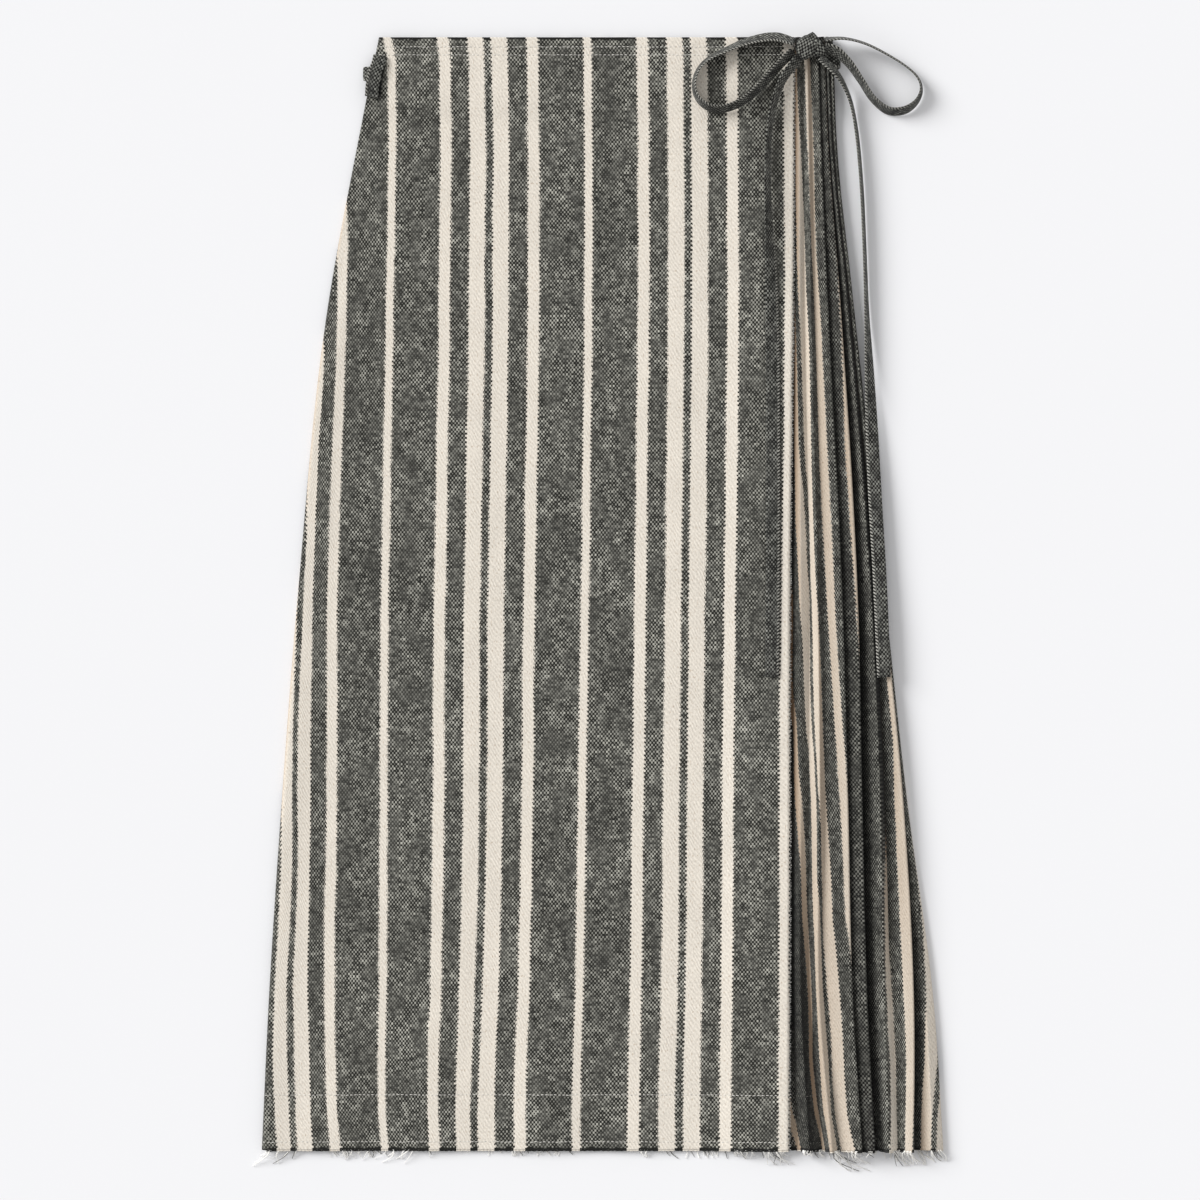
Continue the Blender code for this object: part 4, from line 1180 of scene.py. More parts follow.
# %% Paths of the ties
BOW_LOOP_LEFT = (
    (155.0, 884.8, 15.2, 48), (140.0, 889.2, 13.4, 42), (121.6, 887.0, 11.6, 50),
    (100.8, 879.2, 10.6, 62), (84.0, 870.0, 10.6, 72), (76.2, 858.6, 10.8, 76),
    (75.6, 846.0, 10.8, 76), (81.8, 836.2, 10.6, 70), (93.0, 832.0, 10.4, 64),
    (106.4, 834.4, 10.4, 62), (120.0, 842.4, 10.6, 60), (133.0, 855.4, 12.0, 58),
    (144.4, 868.0, 14.0, 56), (154.0, 877.2, 15.6, 52),
)
BOW_LOOP_RIGHT = (
    (179.2, 880.0, 15.6, 52), (188.4, 876.8, 16.2, 54), (199.0, 867.4, 13.4, 64),
    (208.6, 854.6, 9.4, 70), (218.4, 840.6, 6.4, 70), (230.6, 831.4, 5.8, 64),
    (243.6, 831.8, 5.6, 62), (253.0, 838.4, 5.8, 70), (257.0, 848.4, 6.2, 76),
    (253.6, 858.4, 6.2, 78), (243.2, 867.8, 6.6, 78), (226.4, 877.6, 8.6, 76),
    (210.2, 884.6, 11.6, 74), (194.0, 887.6, 15.2, 72), (179.0, 886.6, 16.0, 66),
)
TIE_TAIL_LEFT = (
    (158.4, 872.0, 14.4, -48), (149.2, 860.6, 12.6, -54), (142.8, 848.6, 11.4, -58),
    (138.0, 832.0, 11.0, -60), (134.6, 806.0, 9.6, -62), (134.0, 770.0, 9.4, -60),
    (135.4, 730.0, 8.2, -46), (137.2, 680.0, 6.2, -18), (138.2, 620.0, 5.6, -4),
    (138.4, 540.0, 5.6, 0), (138.2, 460.0, 5.6, 0), (137.6, 378.4, 5.6, 0),
)
TIE_TAIL_RIGHT = (
    (175.6, 872.4, 16.8, -48), (188.2, 860.0, 15.2, -56), (195.4, 849.6, 11.4, -66),
    (201.6, 834.0, 7.2, -72), (206.0, 808.0, 6.0, -72), (209.4, 768.0, 6.0, -72),
    (211.6, 720.0, 6.0, -72), (213.4, 668.0, 6.4, -66), (215.4, 620.0, 7.4, -44),
    (217.2, 576.0, 8.4, -22), (219.8, 520.0, 9.4, -6), (223.2, 460.0, 10.0, 0),
    (226.6, 378.4, 11.0, 0),
)
WAIST_TIE = (
    (-175.0, 861.0, 7.1, 0), (-181.0, 861.0, 7.1, 0), (-186.6, 861.0, 6.2, 0),
    (-188.9, 861.0, 3.9, 0), (-186.6, 861.0, 1.6, 0), (-180.0, 861.0, 0.8, 0),
    (-120.0, 859.4, 0.8, 0), (0.0, 863.6, 0.8, 0), (120.0, 867.8, 0.8, 0),
    (184.0, 870.0, 0.8, 0), (189.6, 870.4, 2.2, 0), (191.6, 870.6, 5.2, 0),
    (189.6, 870.8, 8.3, 0), (185.0, 871.0, 9.4, 0), (180.0, 871.0, 9.9, 0),
)
BELT_LOOP = (
    (-175.6, 875.2, 6.9, 0), (-177.2, 868.6, 8.6, 0), (-180.0, 861.0, 9.0, 0),
    (-181.8, 851.0, 8.6, 0), (-182.6, 842.0, 6.9, 0),
)
print("paths for five ties and a keeper")

# %% [markdown]
# Where a path would dip into the cloth, the tie lies on the cloth instead: the highest wall under
# its whole width is found from the sections, and the tie is raised to clear it.

# %% Tie surfaces
KNOT_PLACE = (168.0, 880.0)
# Painted shade on the ties near the knot: how dark, and the distances where it starts and fades.
KNOT_SHADE = 0.35
KNOT_SHADE_START = 8.0
KNOT_SHADE_FADE = 14.0
TOP_STEPS = 8
TOP_REACH = 1.4
# Points on each arc and flat of the coarse sections that are enough to find the highest cloth.
COARSE_ARC, COARSE_PLEAT_ARC, COARSE_FRONT, COARSE_BACK = 5, 4, 48, 24
REST_PLACES = 7
TAPE_AROUND = 16
# Powers under 1 fill out the oval's edges and its flat sides.
EDGE_POWER = 0.55
FLAT_POWER = 0.8


def cloth_top(across, up):
    """Lift of the highest cloth round each place, from the sections of all three panels."""
    sections = (
        front_section(up, COARSE_ARC, COARSE_FRONT),
        pleated_section(up, COARSE_PLEAT_ARC),
        back_section(up, COARSE_ARC, COARSE_BACK),
    )
    parts = np.linspace(0.0, 1.0, TOP_STEPS, endpoint=False)
    top = np.zeros(len(up))
    for x, z in sections:
        fine_x = x[:, :-1, None] + np.diff(x, axis=1)[..., None] * parts
        fine_z = z[:, :-1, None] + np.diff(z, axis=1)[..., None] * parts
        near = np.abs(fine_x - across[:, None, None]) < TOP_REACH
        top = np.maximum(top, np.where(near, fine_z + CLOTH / 2, 0.0).max(axis=(1, 2)))
    return top


def tape_rest(middle, side, lean, thickness):
    """The lowest lift of a tie's middle line at which its whole width clears the cloth."""
    rest = np.zeros(len(middle))
    for part in np.linspace(-0.5, 0.5, REST_PLACES):
        spot = middle + side * (part * TAPE_WIDTH * np.cos(lean))
        top = cloth_top(spot[:, 0], np.clip(spot[:, 1], 0, SKIRT_LENGTH))
        under = part * TAPE_WIDTH * np.sin(lean[:, 0]) - thickness / 2
        rest = np.maximum(rest, top + GAP - under)
    return rest


def smooth_path(rows, steps):
    """A Catmull-Rom curve through the rows: between two of them, the cubic whose slope at each end
    is half the way from the row before to the row after."""
    rows = np.array(rows, float)
    padded = np.vstack([2 * rows[0] - rows[1], rows, 2 * rows[-1] - rows[-2]])
    before, here, there, after = padded[:-3], padded[1:-2], padded[2:-1], padded[3:]
    t = np.linspace(0.0, 1.0, steps, endpoint=False)[None, :, None]
    before, here, there, after = (row[:, None, :] for row in (before, here, there, after))
    curve = cubic_between(here, (there - before) / 2, there, (after - here) / 2, t)
    return np.vstack([curve.reshape(-1, rows.shape[1]), rows[-1:]])


def smooth_lift(lift, rounds):
    """Averages each lift with its neighbours, but never lets it sink."""
    for _ in range(rounds):
        spread = lift.copy()
        spread[1:-1] = (lift[:-2] + 2 * lift[1:-1] + lift[2:]) / 4
        lift = np.maximum(lift, spread)
    return lift


def tape_surface(name, rows, thickness, material, steps, fixed_side, stitched, dim):
    """A flat oval carried along a path.  Round the oval, the place across is the cosine of the
    turn with its power lowered, and the place through is the sine, so the edges are full."""
    path = smooth_path(rows, steps)
    middle, lean = path[:, :3].copy(), np.radians(path[:, 3])[:, None]
    run = unit(np.gradient(middle, axis=0))
    if fixed_side is None:
        side = unit(np.cross((0.0, 0.0, 1.0), run))
        rest = tape_rest(middle, side, lean, thickness)
        middle[:, 2] = smooth_lift(np.maximum(middle[:, 2], rest), rounds=3)
    else:
        side = np.broadcast_to(np.array(fixed_side, float), run.shape)
        middle[:, 2] = np.maximum(middle[:, 2], thickness / 2)
    flat_up = unit(np.cross(run, side))
    across = np.cos(lean) * side + np.sin(lean) * flat_up
    through = unit(np.cross(run, across))
    turn = round_turn(TAPE_AROUND)
    flat = np.sign(np.cos(turn)) * np.abs(np.cos(turn)) ** EDGE_POWER * TAPE_WIDTH / 2
    deep = np.sign(np.sin(turn)) * np.abs(np.sin(turn)) ** FLAT_POWER * thickness / 2
    rings = middle[:, None] + across[:, None] * flat[:, None] + through[:, None] * deep[:, None]
    length = path_length(middle)
    cloth_place = np.stack(np.broadcast_arrays(flat * stitched, length[:, None]), axis=-1).reshape(-1, 2)
    points = place(rings[..., 0], rings[..., 1], rings[..., 2])
    # Painted shade: each tie's own share, and more near the knot.
    to_knot = np.hypot(rings[..., 0] - KNOT_PLACE[0], rings[..., 1] - KNOT_PLACE[1]).ravel()
    depth = dim + KNOT_SHADE * (1 - smooth_step((to_knot - KNOT_SHADE_START) / KNOT_SHADE_FADE))
    faces = tube_faces(len(path), TAPE_AROUND)
    return new_piece(name, points, faces, [material], cloth_place, depth=depth), length[-1]


knot_top = cloth_top(*np.array(KNOT_PLACE)[:, None])
print(f"the cloth under the knot reaches {float(knot_top[0]):.1f} mm over the floor")

# %% [markdown]
# The tie cloth is charcoal throughout.  One long edge is a plain fold; along the other the
# topstitching pulls the two layers together, and the pale weft shows there as slanted dashes, like
# the twist of a cord.

# %% Tie cloth material
TWIST_PITCH = 2.7
TWIST_SLANT = 4.0
TWIST_EDGE = 3.2
TWIST_FADE = 0.9
TWIST_LENGTH = 2.0
TWIST_LIGHT = (1.4, 0.2)
TIE_WARP = (0.007, 0.007, 0.006, 1.0)
TIE_WEFT = (0.2, 0.2, 0.18, 1.0)
TIE_DULL = (0.036, 0.036, 0.033, 1.0)
TIE_CRISP = 0.55
TIE_SHEEN = 0.1
TIE_BUMP = 0.35
DASH_PALE = (0.42, 0.41, 0.37)
DASH_DARK = (0.015, 0.015, 0.013, 1.0)


def tie_cloth_material():
    """Plain weave, with slanted light and dark dashes on the stitched edge, darkened by painted shade."""
    material, tree, shader = cloth_shader("tie_cloth", CLOTH_ROUGHNESS, TIE_SHEEN)
    cloth_place = add(tree, "ShaderNodeUVMap", uv_map="cloth").outputs["UV"]
    yarns = {"Cloth": cloth_place, "Warp": TIE_WARP, "Weft": TIE_WEFT, "Dull": TIE_DULL, "Crisp": TIE_CRISP}
    weave = use_group(tree, plain_weave, yarns)
    across, along = two_parts(tree, cloth_place)
    slant = slanted(tree, across, along, TWIST_SLANT, TWIST_PITCH)
    dash = soft_mask(tree, calc(tree, "SINE", calc(tree, "MULTIPLY", slant, 2 * np.pi)), *DOT_EDGE)
    edge = soft_mask(tree, across, TWIST_EDGE, TWIST_EDGE + TWIST_FADE)
    vary = noise(tree, calc(tree, "DIVIDE", along, TWIST_LENGTH), 3.0, 1.0)
    pale = scale_colour(tree, DASH_PALE, calc(tree, "MULTIPLY_ADD", vary, *TWIST_LIGHT))
    twisted = mix_colour(tree, dash, DASH_DARK, pale)
    colour = mix_colour(tree, edge, weave["Color"], twisted)
    tree.links.new(with_painted_shade(tree, colour, DARK_FOLD), shader.inputs["Base Color"])
    height = calc(tree, "MAXIMUM", weave["Height"], calc(tree, "MULTIPLY", edge, dash))
    weave_bump(tree, shader, height, TIE_BUMP)
    return material


tie_cloth = tie_cloth_material()
print("tie cloth:", len(tie_cloth.node_tree.nodes), "nodes")

# %% [markdown]
# Every tie is made as wide and as thick as its solid.  The inner tie turns over at both folds and
# the keeper arches over it, so their side is fixed; the others lie level but for their lean.

# %% Make the ties
LOOP_THICKNESS = 1.2
# Path, thickness, steps between two rows of the path, fixed side, which edge is stitched (1 or -1)
# and how much painted shade darkens the whole tie.
TIES = {
    "waist_tie": (WAIST_TIE, TAPE_THICKNESS, 8, (0.0, 1.0, 0.0), -1, 0.15),
    "belt_loop": (BELT_LOOP, LOOP_THICKNESS, 8, (0.98, -0.2, 0.0), -1, 0.3),
    "bow_loop_left": (BOW_LOOP_LEFT, TAPE_THICKNESS, 9, None, 1, 0.22),
    "bow_loop_right": (BOW_LOOP_RIGHT, TAPE_THICKNESS, 9, None, 1, 0.22),
    "tie_tail_left": (TIE_TAIL_LEFT, TAPE_THICKNESS, 10, None, 1, 0.1),
    "tie_tail_right": (TIE_TAIL_RIGHT, TAPE_THICKNESS, 10, None, -1, 0.0),
}
ties = {}
tie_lengths = {}
for node, (rows, thickness, *looks) in TIES.items():
    ties[node], tie_lengths[node] = tape_surface(f"{node}_cloth", rows, thickness, tie_cloth, *looks)
    dress(ties[node], node)
    print(f"{node}: {tie_lengths[node]:.0f} mm of tie")

# %% [markdown]
# ## The knot
# Four ends of tape meet in the knot.  It is modelled as short fat wraps over a core: one wrap over
# the front, one fold at the right, and a small folded corner that stands over the waist edge.  Each
# is an oval tube whose width and height swell and shrink along its path.  Painted shade darkens the
# whole knot, most of all low down, so that the core and the fold read dark.

# %% Knot wraps
KNOT_AROUND = 20
# A wrap is shifted by this much from the tape's middle, away from the stitched edge, so that it
# shows plain weave.
PLAIN_SIDE = -6.0
# Painted shade on all of the knot, the painted shade that its underside adds, and the lift and
# height over which that fades.
KNOT_SHADE_ALL_OVER = 0.15
KNOT_UNDERSIDE_SHADE = 0.6
KNOT_DARK_LIFT = 11.5
KNOT_DARK_FADE = 6.0
# Each row of a wrap: across, up, lift, half width, half height.
KNOT_CORE = (
    (155.5, 881.0, 13.6, 0.5, 0.5), (158.0, 881.0, 13.6, 5.6, 4.0), (163.0, 881.2, 13.8, 8.0, 4.8),
    (169.0, 880.8, 13.8, 8.2, 4.8), (175.0, 880.0, 13.4, 6.6, 4.4), (178.4, 879.6, 13.0, 0.5, 0.5),
)
KNOT_WRAP = (
    (168.0, 889.6, 11.6, 0.5, 0.5), (167.6, 888.6, 13.2, 4.6, 1.6), (166.6, 885.8, 16.6, 6.4, 1.9),
    (165.2, 882.0, 18.4, 6.9, 2.0), (163.2, 877.8, 17.8, 6.5, 2.0), (161.6, 874.6, 15.2, 5.4, 1.9),
    (160.8, 872.8, 11.8, 4.0, 1.6), (160.8, 872.4, 10.6, 0.5, 0.5),
)
KNOT_FOLD = (
    (170.0, 884.2, 14.4, 0.5, 0.5), (171.2, 883.2, 15.4, 3.2, 1.8), (173.6, 880.6, 16.6, 4.4, 2.1),
    (176.6, 877.6, 15.8, 4.2, 2.0), (178.8, 875.0, 13.4, 3.2, 1.7), (179.6, 873.8, 11.8, 0.5, 0.5),
)
KNOT_CORNER = (
    (169.6, 893.0, 12.6, 0.4, 0.4), (169.5, 891.6, 13.2, 2.2, 1.2), (169.2, 889.6, 14.2, 4.4, 1.7),
    (168.8, 887.0, 15.2, 6.6, 2.0), (168.6, 884.6, 14.6, 6.8, 1.9), (168.6, 882.6, 12.8, 0.5, 0.5),
)


def swelling_tube(rows, steps):
    """An oval tube along a path: its half width lies level and square to the run, its half height
    square to both, and each follows its own smooth curve.  It ends in rounded points."""
    path = smooth_path(rows, steps)
    middle, half_width, half_height = path[:, :3], path[:, [3]], path[:, [4]]
    run = unit(np.gradient(middle, axis=0))
    side = unit(np.cross((0.0, 0.0, 1.0), run))
    over = np.cross(run, side)
    turn = round_turn(KNOT_AROUND)[:, None]
    rings = middle[:, None] + side[:, None] * (half_width[:, None] * np.cos(turn))
    rings = rings + over[:, None] * (half_height[:, None] * np.sin(turn))
    flat = half_width * np.cos(turn[:, 0]) + PLAIN_SIDE
    cloth_place = np.stack(np.broadcast_arrays(flat, path_length(middle)[:, None]), axis=-1)
    points = place(rings[..., 0], rings[..., 1], rings[..., 2])
    return points, tube_faces(len(path), KNOT_AROUND), cloth_place.reshape(-1, 2)


def joined(parts):
    """Several meshes as one: the points, the faces shifted past the points before them, and the
    cloth places."""
    points, faces, cloth_places, count = [], [], [], 0
    for part_points, part_faces, part_places in parts:
        points.append(part_points)
        cloth_places.append(part_places)
        faces += [[corner + count for corner in face] for face in part_faces]
        count += len(part_points)
    return np.vstack(points), faces, np.vstack(cloth_places)


knot_wraps = (KNOT_CORE, KNOT_WRAP, KNOT_FOLD, KNOT_CORNER)
knot_points, knot_faces, knot_places = joined([swelling_tube(rows, steps=5) for rows in knot_wraps])
knot_rise = smooth_step((knot_points[:, 2] / MM - KNOT_DARK_LIFT) / KNOT_DARK_FADE)
knot_painted_shade = KNOT_SHADE_ALL_OVER + KNOT_UNDERSIDE_SHADE * (1 - knot_rise)
knot = new_piece("bow_knot_cloth", knot_points, knot_faces, [tie_cloth], knot_places, depth=knot_painted_shade)
dress(knot, "bow_knot")
print("knot:", len(knot_faces), "faces")

# %% [markdown]
# Beside the keeper the left edge has a slit that the inner tie comes out of.  Its turned edge shows
# as a narrow roll, dark with painted shade that stands for the shadow of the keeper's edge too.

# %% Rolled edge of the slit
# Across, up, half width.
SLIT_ROLL = (
    (-170.6, 874.0, 0.3), (-172.6, 868.0, 0.8), (-174.2, 860.0, 1.0), (-175.4, 852.0, 0.9),
    (-176.8, 844.0, 1.2), (-178.0, 839.0, 0.3),
)
ROLL_RISE = 0.9
ROLL_FLATNESS = 0.6
# How dark the roll is painted, for the shadow of the keeper.
ROLL_PAINTED_SHADE = 0.85
roll_across, roll_up, roll_half = np.array(SLIT_ROLL).T
roll_lift = front_lift(roll_across, roll_up) + ROLL_RISE
roll_rows = np.stack([roll_across, roll_up, roll_lift, roll_half, ROLL_FLATNESS * roll_half], axis=1)
roll_points, roll_faces, roll_places = swelling_tube(roll_rows, steps=6)
roll_shade_map = np.full(len(roll_points), ROLL_PAINTED_SHADE)
slit_roll = new_piece("slit_roll", roll_points, roll_faces, [tie_cloth], roll_places, depth=roll_shade_map)
dress(slit_roll)
print("slit roll:", len(roll_faces), "faces")

# %% [markdown]
# ## Sewing
# A stitch is a short capsule of thread that dips into the cloth at both ends.  One template is
# copied along each row as arrays: its length runs along the row, and its height along the cloth's
# outward side.  The hidden parts of a row are left out.

# %% Stitch template
STITCH_LENGTH = 2.3
STITCH_GAP = 1.1
STITCH_RADIUS = 0.34
STITCH_SWELL = 0.55
STITCH_ARCH = 0.22
STITCH_DIP = 0.1
STITCH_RINGS = 5
STITCH_SIDES = 5
# Sewing is never quite even: how far a stitch strays along its row and out of it, how much it
# turns, and how far each way the cloth's slope is measured.
STRAY_ALONG = 0.25
STRAY_UP = 0.2
STRAY_TURN = 0.12
SLOPE_REACH = 1.2


def stitch_template():
    """Rings along the stitch; the middle line is an arch and the radius swells from end to end."""
    part = np.linspace(0.0, 1.0, STITCH_RINGS)[:, None]
    turn = round_turn(STITCH_SIDES)
    arch = np.sin(np.pi * part)
    radius = STITCH_RADIUS * (1 - STITCH_SWELL + STITCH_SWELL * arch)
    along = (part - 0.5) * STITCH_LENGTH + 0 * turn
    aside = radius * np.cos(turn)
    out = radius * np.sin(turn) + STITCH_ARCH * arch - STITCH_DIP
    return np.stack([along, aside, out], axis=-1).reshape(-1, 3)


def place_stitches(middles, runs, outs):
    """Copies the template to each middle, along its run and out of its cloth."""
    template = stitch_template()[None, :, :, None]
    directions = (runs, np.cross(outs, runs), outs)
    copies = middles[:, None] + sum(
        template[:, :, number] * direction[:, None] for number, direction in enumerate(directions)
    )
    points = place(copies[..., 0], copies[..., 1], copies[..., 2])
    return points, tube_faces(STITCH_RINGS, STITCH_SIDES, len(middles))


def row_of_stitches(section, up, first_column, generator, sunk):
    """Stitches along one section from this column to its end, on its outer side, pressed into the
    cloth by sunk millimetres."""
    across, lift = section[0][0], section[1][0]
    length = run_length(*section)[0]
    pitch = STITCH_LENGTH + STITCH_GAP
    spots_along = np.arange(length[first_column] + pitch / 2, length[-1] - pitch / 2, pitch)
    count = len(spots_along)
    spots_along = spots_along + generator.uniform(-STRAY_ALONG, STRAY_ALONG, count)
    near = [spots_along + step for step in (-SLOPE_REACH, 0.0, SLOPE_REACH)]
    behind, x, ahead = (np.interp(places, length, across) for places in near)
    below, z, above = (np.interp(places, length, lift) for places in near)
    turn = generator.uniform(-STRAY_TURN, STRAY_TURN, count)
    runs = unit(np.stack([ahead - behind, turn, above - below], axis=1))
    outs = unit(np.stack([-runs[:, 2], 0 * x, runs[:, 0]], axis=1))
    own_up = up + generator.uniform(-STRAY_UP, STRAY_UP, count)
    return np.stack([x, own_up, z], axis=1) + outs * (WALL / 2 - sunk), runs, outs


print("a stitch has", len(stitch_template()), "points")

# %% [markdown]
# The sewing thread is pale grey on the flat panels and dark on the pleats, and a little less matt
# than the cloth.  The loose yarns are undyed or charcoal, and fluffier.

# %% Materials of the threads
PLY_SCALE = 900.0
TONE_SCALE = 60.0
PLY_LIGHT = 0.5
TONE_LIGHT = (0.9, 0.3)
THREAD_SHEEN = 0.2
THREAD_BUMP = 0.1
SEWN_ROUGHNESS = 0.7
YARN_ROUGHNESS = 0.85


def thread_material(name, colour, roughness):
    """Plied thread: fine spots of light and dark, and a slow change of tone."""
    material, tree, shader = cloth_shader(name, roughness, THREAD_SHEEN)
    spot = add(tree, "ShaderNodeTexCoord").outputs["Object"]
    ply = add(tree, "ShaderNodeTexNoise", {"Vector": spot, "Scale": PLY_SCALE, "Detail": 2.0}).outputs[0]
    tone = add(tree, "ShaderNodeTexNoise", {"Vector": spot, "Scale": TONE_SCALE}).outputs[0]
    level = calc(tree, "MULTIPLY_ADD", ply, PLY_LIGHT, calc(tree, "MULTIPLY_ADD", tone, *TONE_LIGHT))
    tree.links.new(scale_colour(tree, colour, level), shader.inputs["Base Color"])
    weave_bump(tree, shader, ply, THREAD_BUMP)
    return material


sewing_thread = thread_material("sewing_thread", (0.62, 0.6, 0.56), SEWN_ROUGHNESS)
dark_thread = thread_material("dark_thread", (0.18, 0.175, 0.16), SEWN_ROUGHNESS)
pale_yarn = thread_material("pale_yarn", (0.9, 0.88, 0.84), YARN_ROUGHNESS)
grey_yarn = thread_material("grey_yarn", (0.2, 0.195, 0.185), YARN_ROUGHNESS)
print("threads:", [thread.name for thread in (sewing_thread, dark_thread, pale_yarn, grey_yarn)])

# %% [markdown]
# The rows at the waist and the hem run all round: on the front and the visible pleats from above,
# and on the back's underside.

# %% Waist and hem topstitching
STITCH_ROWS = HEM_ROWS + WAIST_ROWS
# The first column of each section that is sewn where it shows.
FRONT_SEWN_FROM = 3
BACK_SEWN_FROM = 8
PLEATS_SEWN_FROM = fold_column["first_crest"] - PLEAT_ARC_POINTS // 2


def sew_panel(name, section_function, counts, first_column, thread, sunk, seed):
    """All stitch rows of one panel, as one piece."""
    generator = np.random.default_rng(seed)
    rows = []
    for up in STITCH_ROWS:
        section = section_function(np.array([up]), *counts)
        rows.append(row_of_stitches(section, up, first_column, generator, sunk))
    middles, runs, outs = (np.vstack(parts) for parts in zip(*rows))
    piece = new_piece(name, *place_stitches(middles, runs, outs), [thread])
    dress(piece)
    print(name, "has", len(middles), "stitches")
    return piece


front_stitching = sew_panel(
    "front_stitching", front_section, (ARC_POINTS, FRONT_COLUMNS), FRONT_SEWN_FROM,
    sewing_thread, sunk=0.0, seed=3,
)
pleat_stitching = sew_panel(
    "pleat_stitching", pleated_section, (PLEAT_ARC_POINTS,), PLEATS_SEWN_FROM,
    dark_thread, sunk=0.3, seed=4,
)
back_stitching = sew_panel(
    "back_stitching", back_section, (ARC_POINTS, BACK_COLUMNS), BACK_SEWN_FROM,
    sewing_thread, sunk=0.42, seed=5,
)

# %% [markdown]
# ## Raw edges and loose threads
# The hem is cut and left raw: the last weft yarn lies along it, and warp ends hang out of it in
# tufts.  The overlap's edge is raw too, with short weft ends that stick out sideways.  A yarn is a
# thin tube with four sides and a few bends; hundreds of them are made at once as arrays.

# %% Yarn tubes
YARN_SIDES = 4
YARN_RINGS = 7
YARN_TIP = 0.6


def yarn_tubes(lines, radius):
    """Tubes round many middle lines at once.  lines has shape (yarns, YARN_RINGS, 3); the radius is
    one number for each yarn and thins evenly to its share YARN_TIP at the free end."""
    run = unit(np.gradient(lines, axis=1))
    side = unit(np.cross(run, (0.0, 0.0, 1.0)))
    over = np.cross(side, run)
    turn = round_turn(YARN_SIDES)[:, None]
    thin = np.linspace(1.0, YARN_TIP, YARN_RINGS)[None, :, None, None] * np.reshape(radius, (-1, 1, 1, 1))
    points = lines[:, :, None] + thin * (side[:, :, None] * np.cos(turn) + over[:, :, None] * np.sin(turn))
    faces = tube_faces(YARN_RINGS, YARN_SIDES, len(lines))
    return place(points[..., 0], points[..., 1], points[..., 2]), faces


def faces_of_yarns(marks):
    """The material number of every face, from one mark for each yarn: its quads, then its ends."""
    quads = (YARN_RINGS - 1) * YARN_SIDES
    return np.concatenate([np.repeat(marks, quads), np.repeat(marks, 2)])


print("a yarn has", len(faces_of_yarns([0])), "faces")

# %% [markdown]
# A loose thread leaves the hem, curls to one side and sinks to just above the floor.  The rows say
# where tufts hang: from and to across, how many threads, their reach, and how far they lean to the
# right for each millimetre that they reach.

# %% Hem threads
FLOOR_CLEARANCE = 0.75
THREAD_REACH = 18.0
FRONT_THREADS = (
    (-268.0, -263.0, 1, 14.0, -0.6), (-256.0, -240.0, 2, 12.0, -0.6), (-208.0, -198.0, 2, 9.0, 0.1),
    (-194.0, -184.0, 1, 9.0, -0.5), (-172.0, -162.0, 1, 11.0, -0.8), (-156.0, -148.0, 1, 12.0, -0.9),
    (-140.0, -132.0, 1, 7.0, 0.3), (-72.0, -58.0, 2, 6.0, 0.2), (28.0, 42.0, 2, 7.0, 0.1),
    (104.0, 126.0, 4, 8.0, 0.3), (128.0, 148.0, 6, 13.0, 0.5),
)
PLEAT_THREADS = (
    (159.0, 170.0, 5, 5.0, 0.2), (172.0, 178.0, 3, 7.0, 0.4), (187.0, 192.0, 5, THREAD_REACH, 0.8),
    (193.0, 206.0, 5, 12.0, 0.4), (214.0, 217.0, 2, 6.0, 0.2), (233.0, 241.0, 4, 14.0, 0.6),
    (243.0, 248.0, 4, 13.0, 0.6),
)
BACK_THREADS = (
    (-220.0, -170.0, 6, 7.0, 0.3), (-90.0, -20.0, 7, 6.0, -0.2), (50.0, 110.0, 6, 8.0, 0.3),
    (170.0, 250.0, 8, 8.0, 0.2), (252.0, 262.0, 3, 13.0, 0.6), (262.0, 272.0, 4, 10.0, 0.5),
)
# Each counted thread is drawn as FINE_THREADS finer ones, and only the first of them has the full
# reach.
FINE_THREADS = 3
SHORT_REACH = (0.35, 0.9)
CURL = 0.3
CURL_TURNS = (0.8, 1.7)
LEAN_SPREAD = 0.45
ROOT_SPAN = 0.8
ROOT_INSIDE = 0.4
STEEPEST_DROP = 0.9
HUMP = 0.6
THREAD_RADII = (0.3, 0.5)


def hem_threads(hem_line, thread_rows, generator):
    """Middle lines of a hem's threads: the way across is lean times reach times t^1.4 plus a slow
    sine curl, the way out is reach times t, and the lift falls to the floor with t^1.5, less a
    small sine hump."""
    lines, radii = [], []
    t = np.linspace(0.0, 1.0, YARN_RINGS)
    for start, end, count, reach, lean in thread_rows:
        for number in range(count * FINE_THREADS):
            root_across = generator.uniform(start, end)
            root_lift = hem_line[1][np.abs(hem_line[0] - root_across) < ROOT_SPAN].max()
            full = number % FINE_THREADS == 0
            own_reach = reach * (1.0 if full else generator.uniform(*SHORT_REACH))
            curl = generator.uniform(-CURL, CURL) * own_reach
            sway = np.sin(np.pi * t * generator.uniform(*CURL_TURNS)) * curl
            own_lean = lean + generator.uniform(-LEAN_SPREAD, LEAN_SPREAD)
            across = root_across + own_lean * own_reach * t**1.4 + sway
            drop = min(root_lift - FLOOR_CLEARANCE, STEEPEST_DROP * own_reach)
            hump = HUMP * np.sin(np.pi * t) * generator.uniform(0, 1)
            lift = root_lift - drop * t**1.5 + hump
            lines.append(np.stack([across, ROOT_INSIDE - own_reach * t, lift], axis=1))
            radii.append(generator.uniform(*THREAD_RADII))
    return np.stack(lines), np.array(radii)


print(len(FRONT_THREADS + PLEAT_THREADS + BACK_THREADS), "tufts of threads")

# %% [markdown]
# Each hem's threads and the last weft yarn, which lies along it like a thin round cord, are one
# piece.  The yarn takes the stripe places of the cloth beside it, so it changes colour with them.

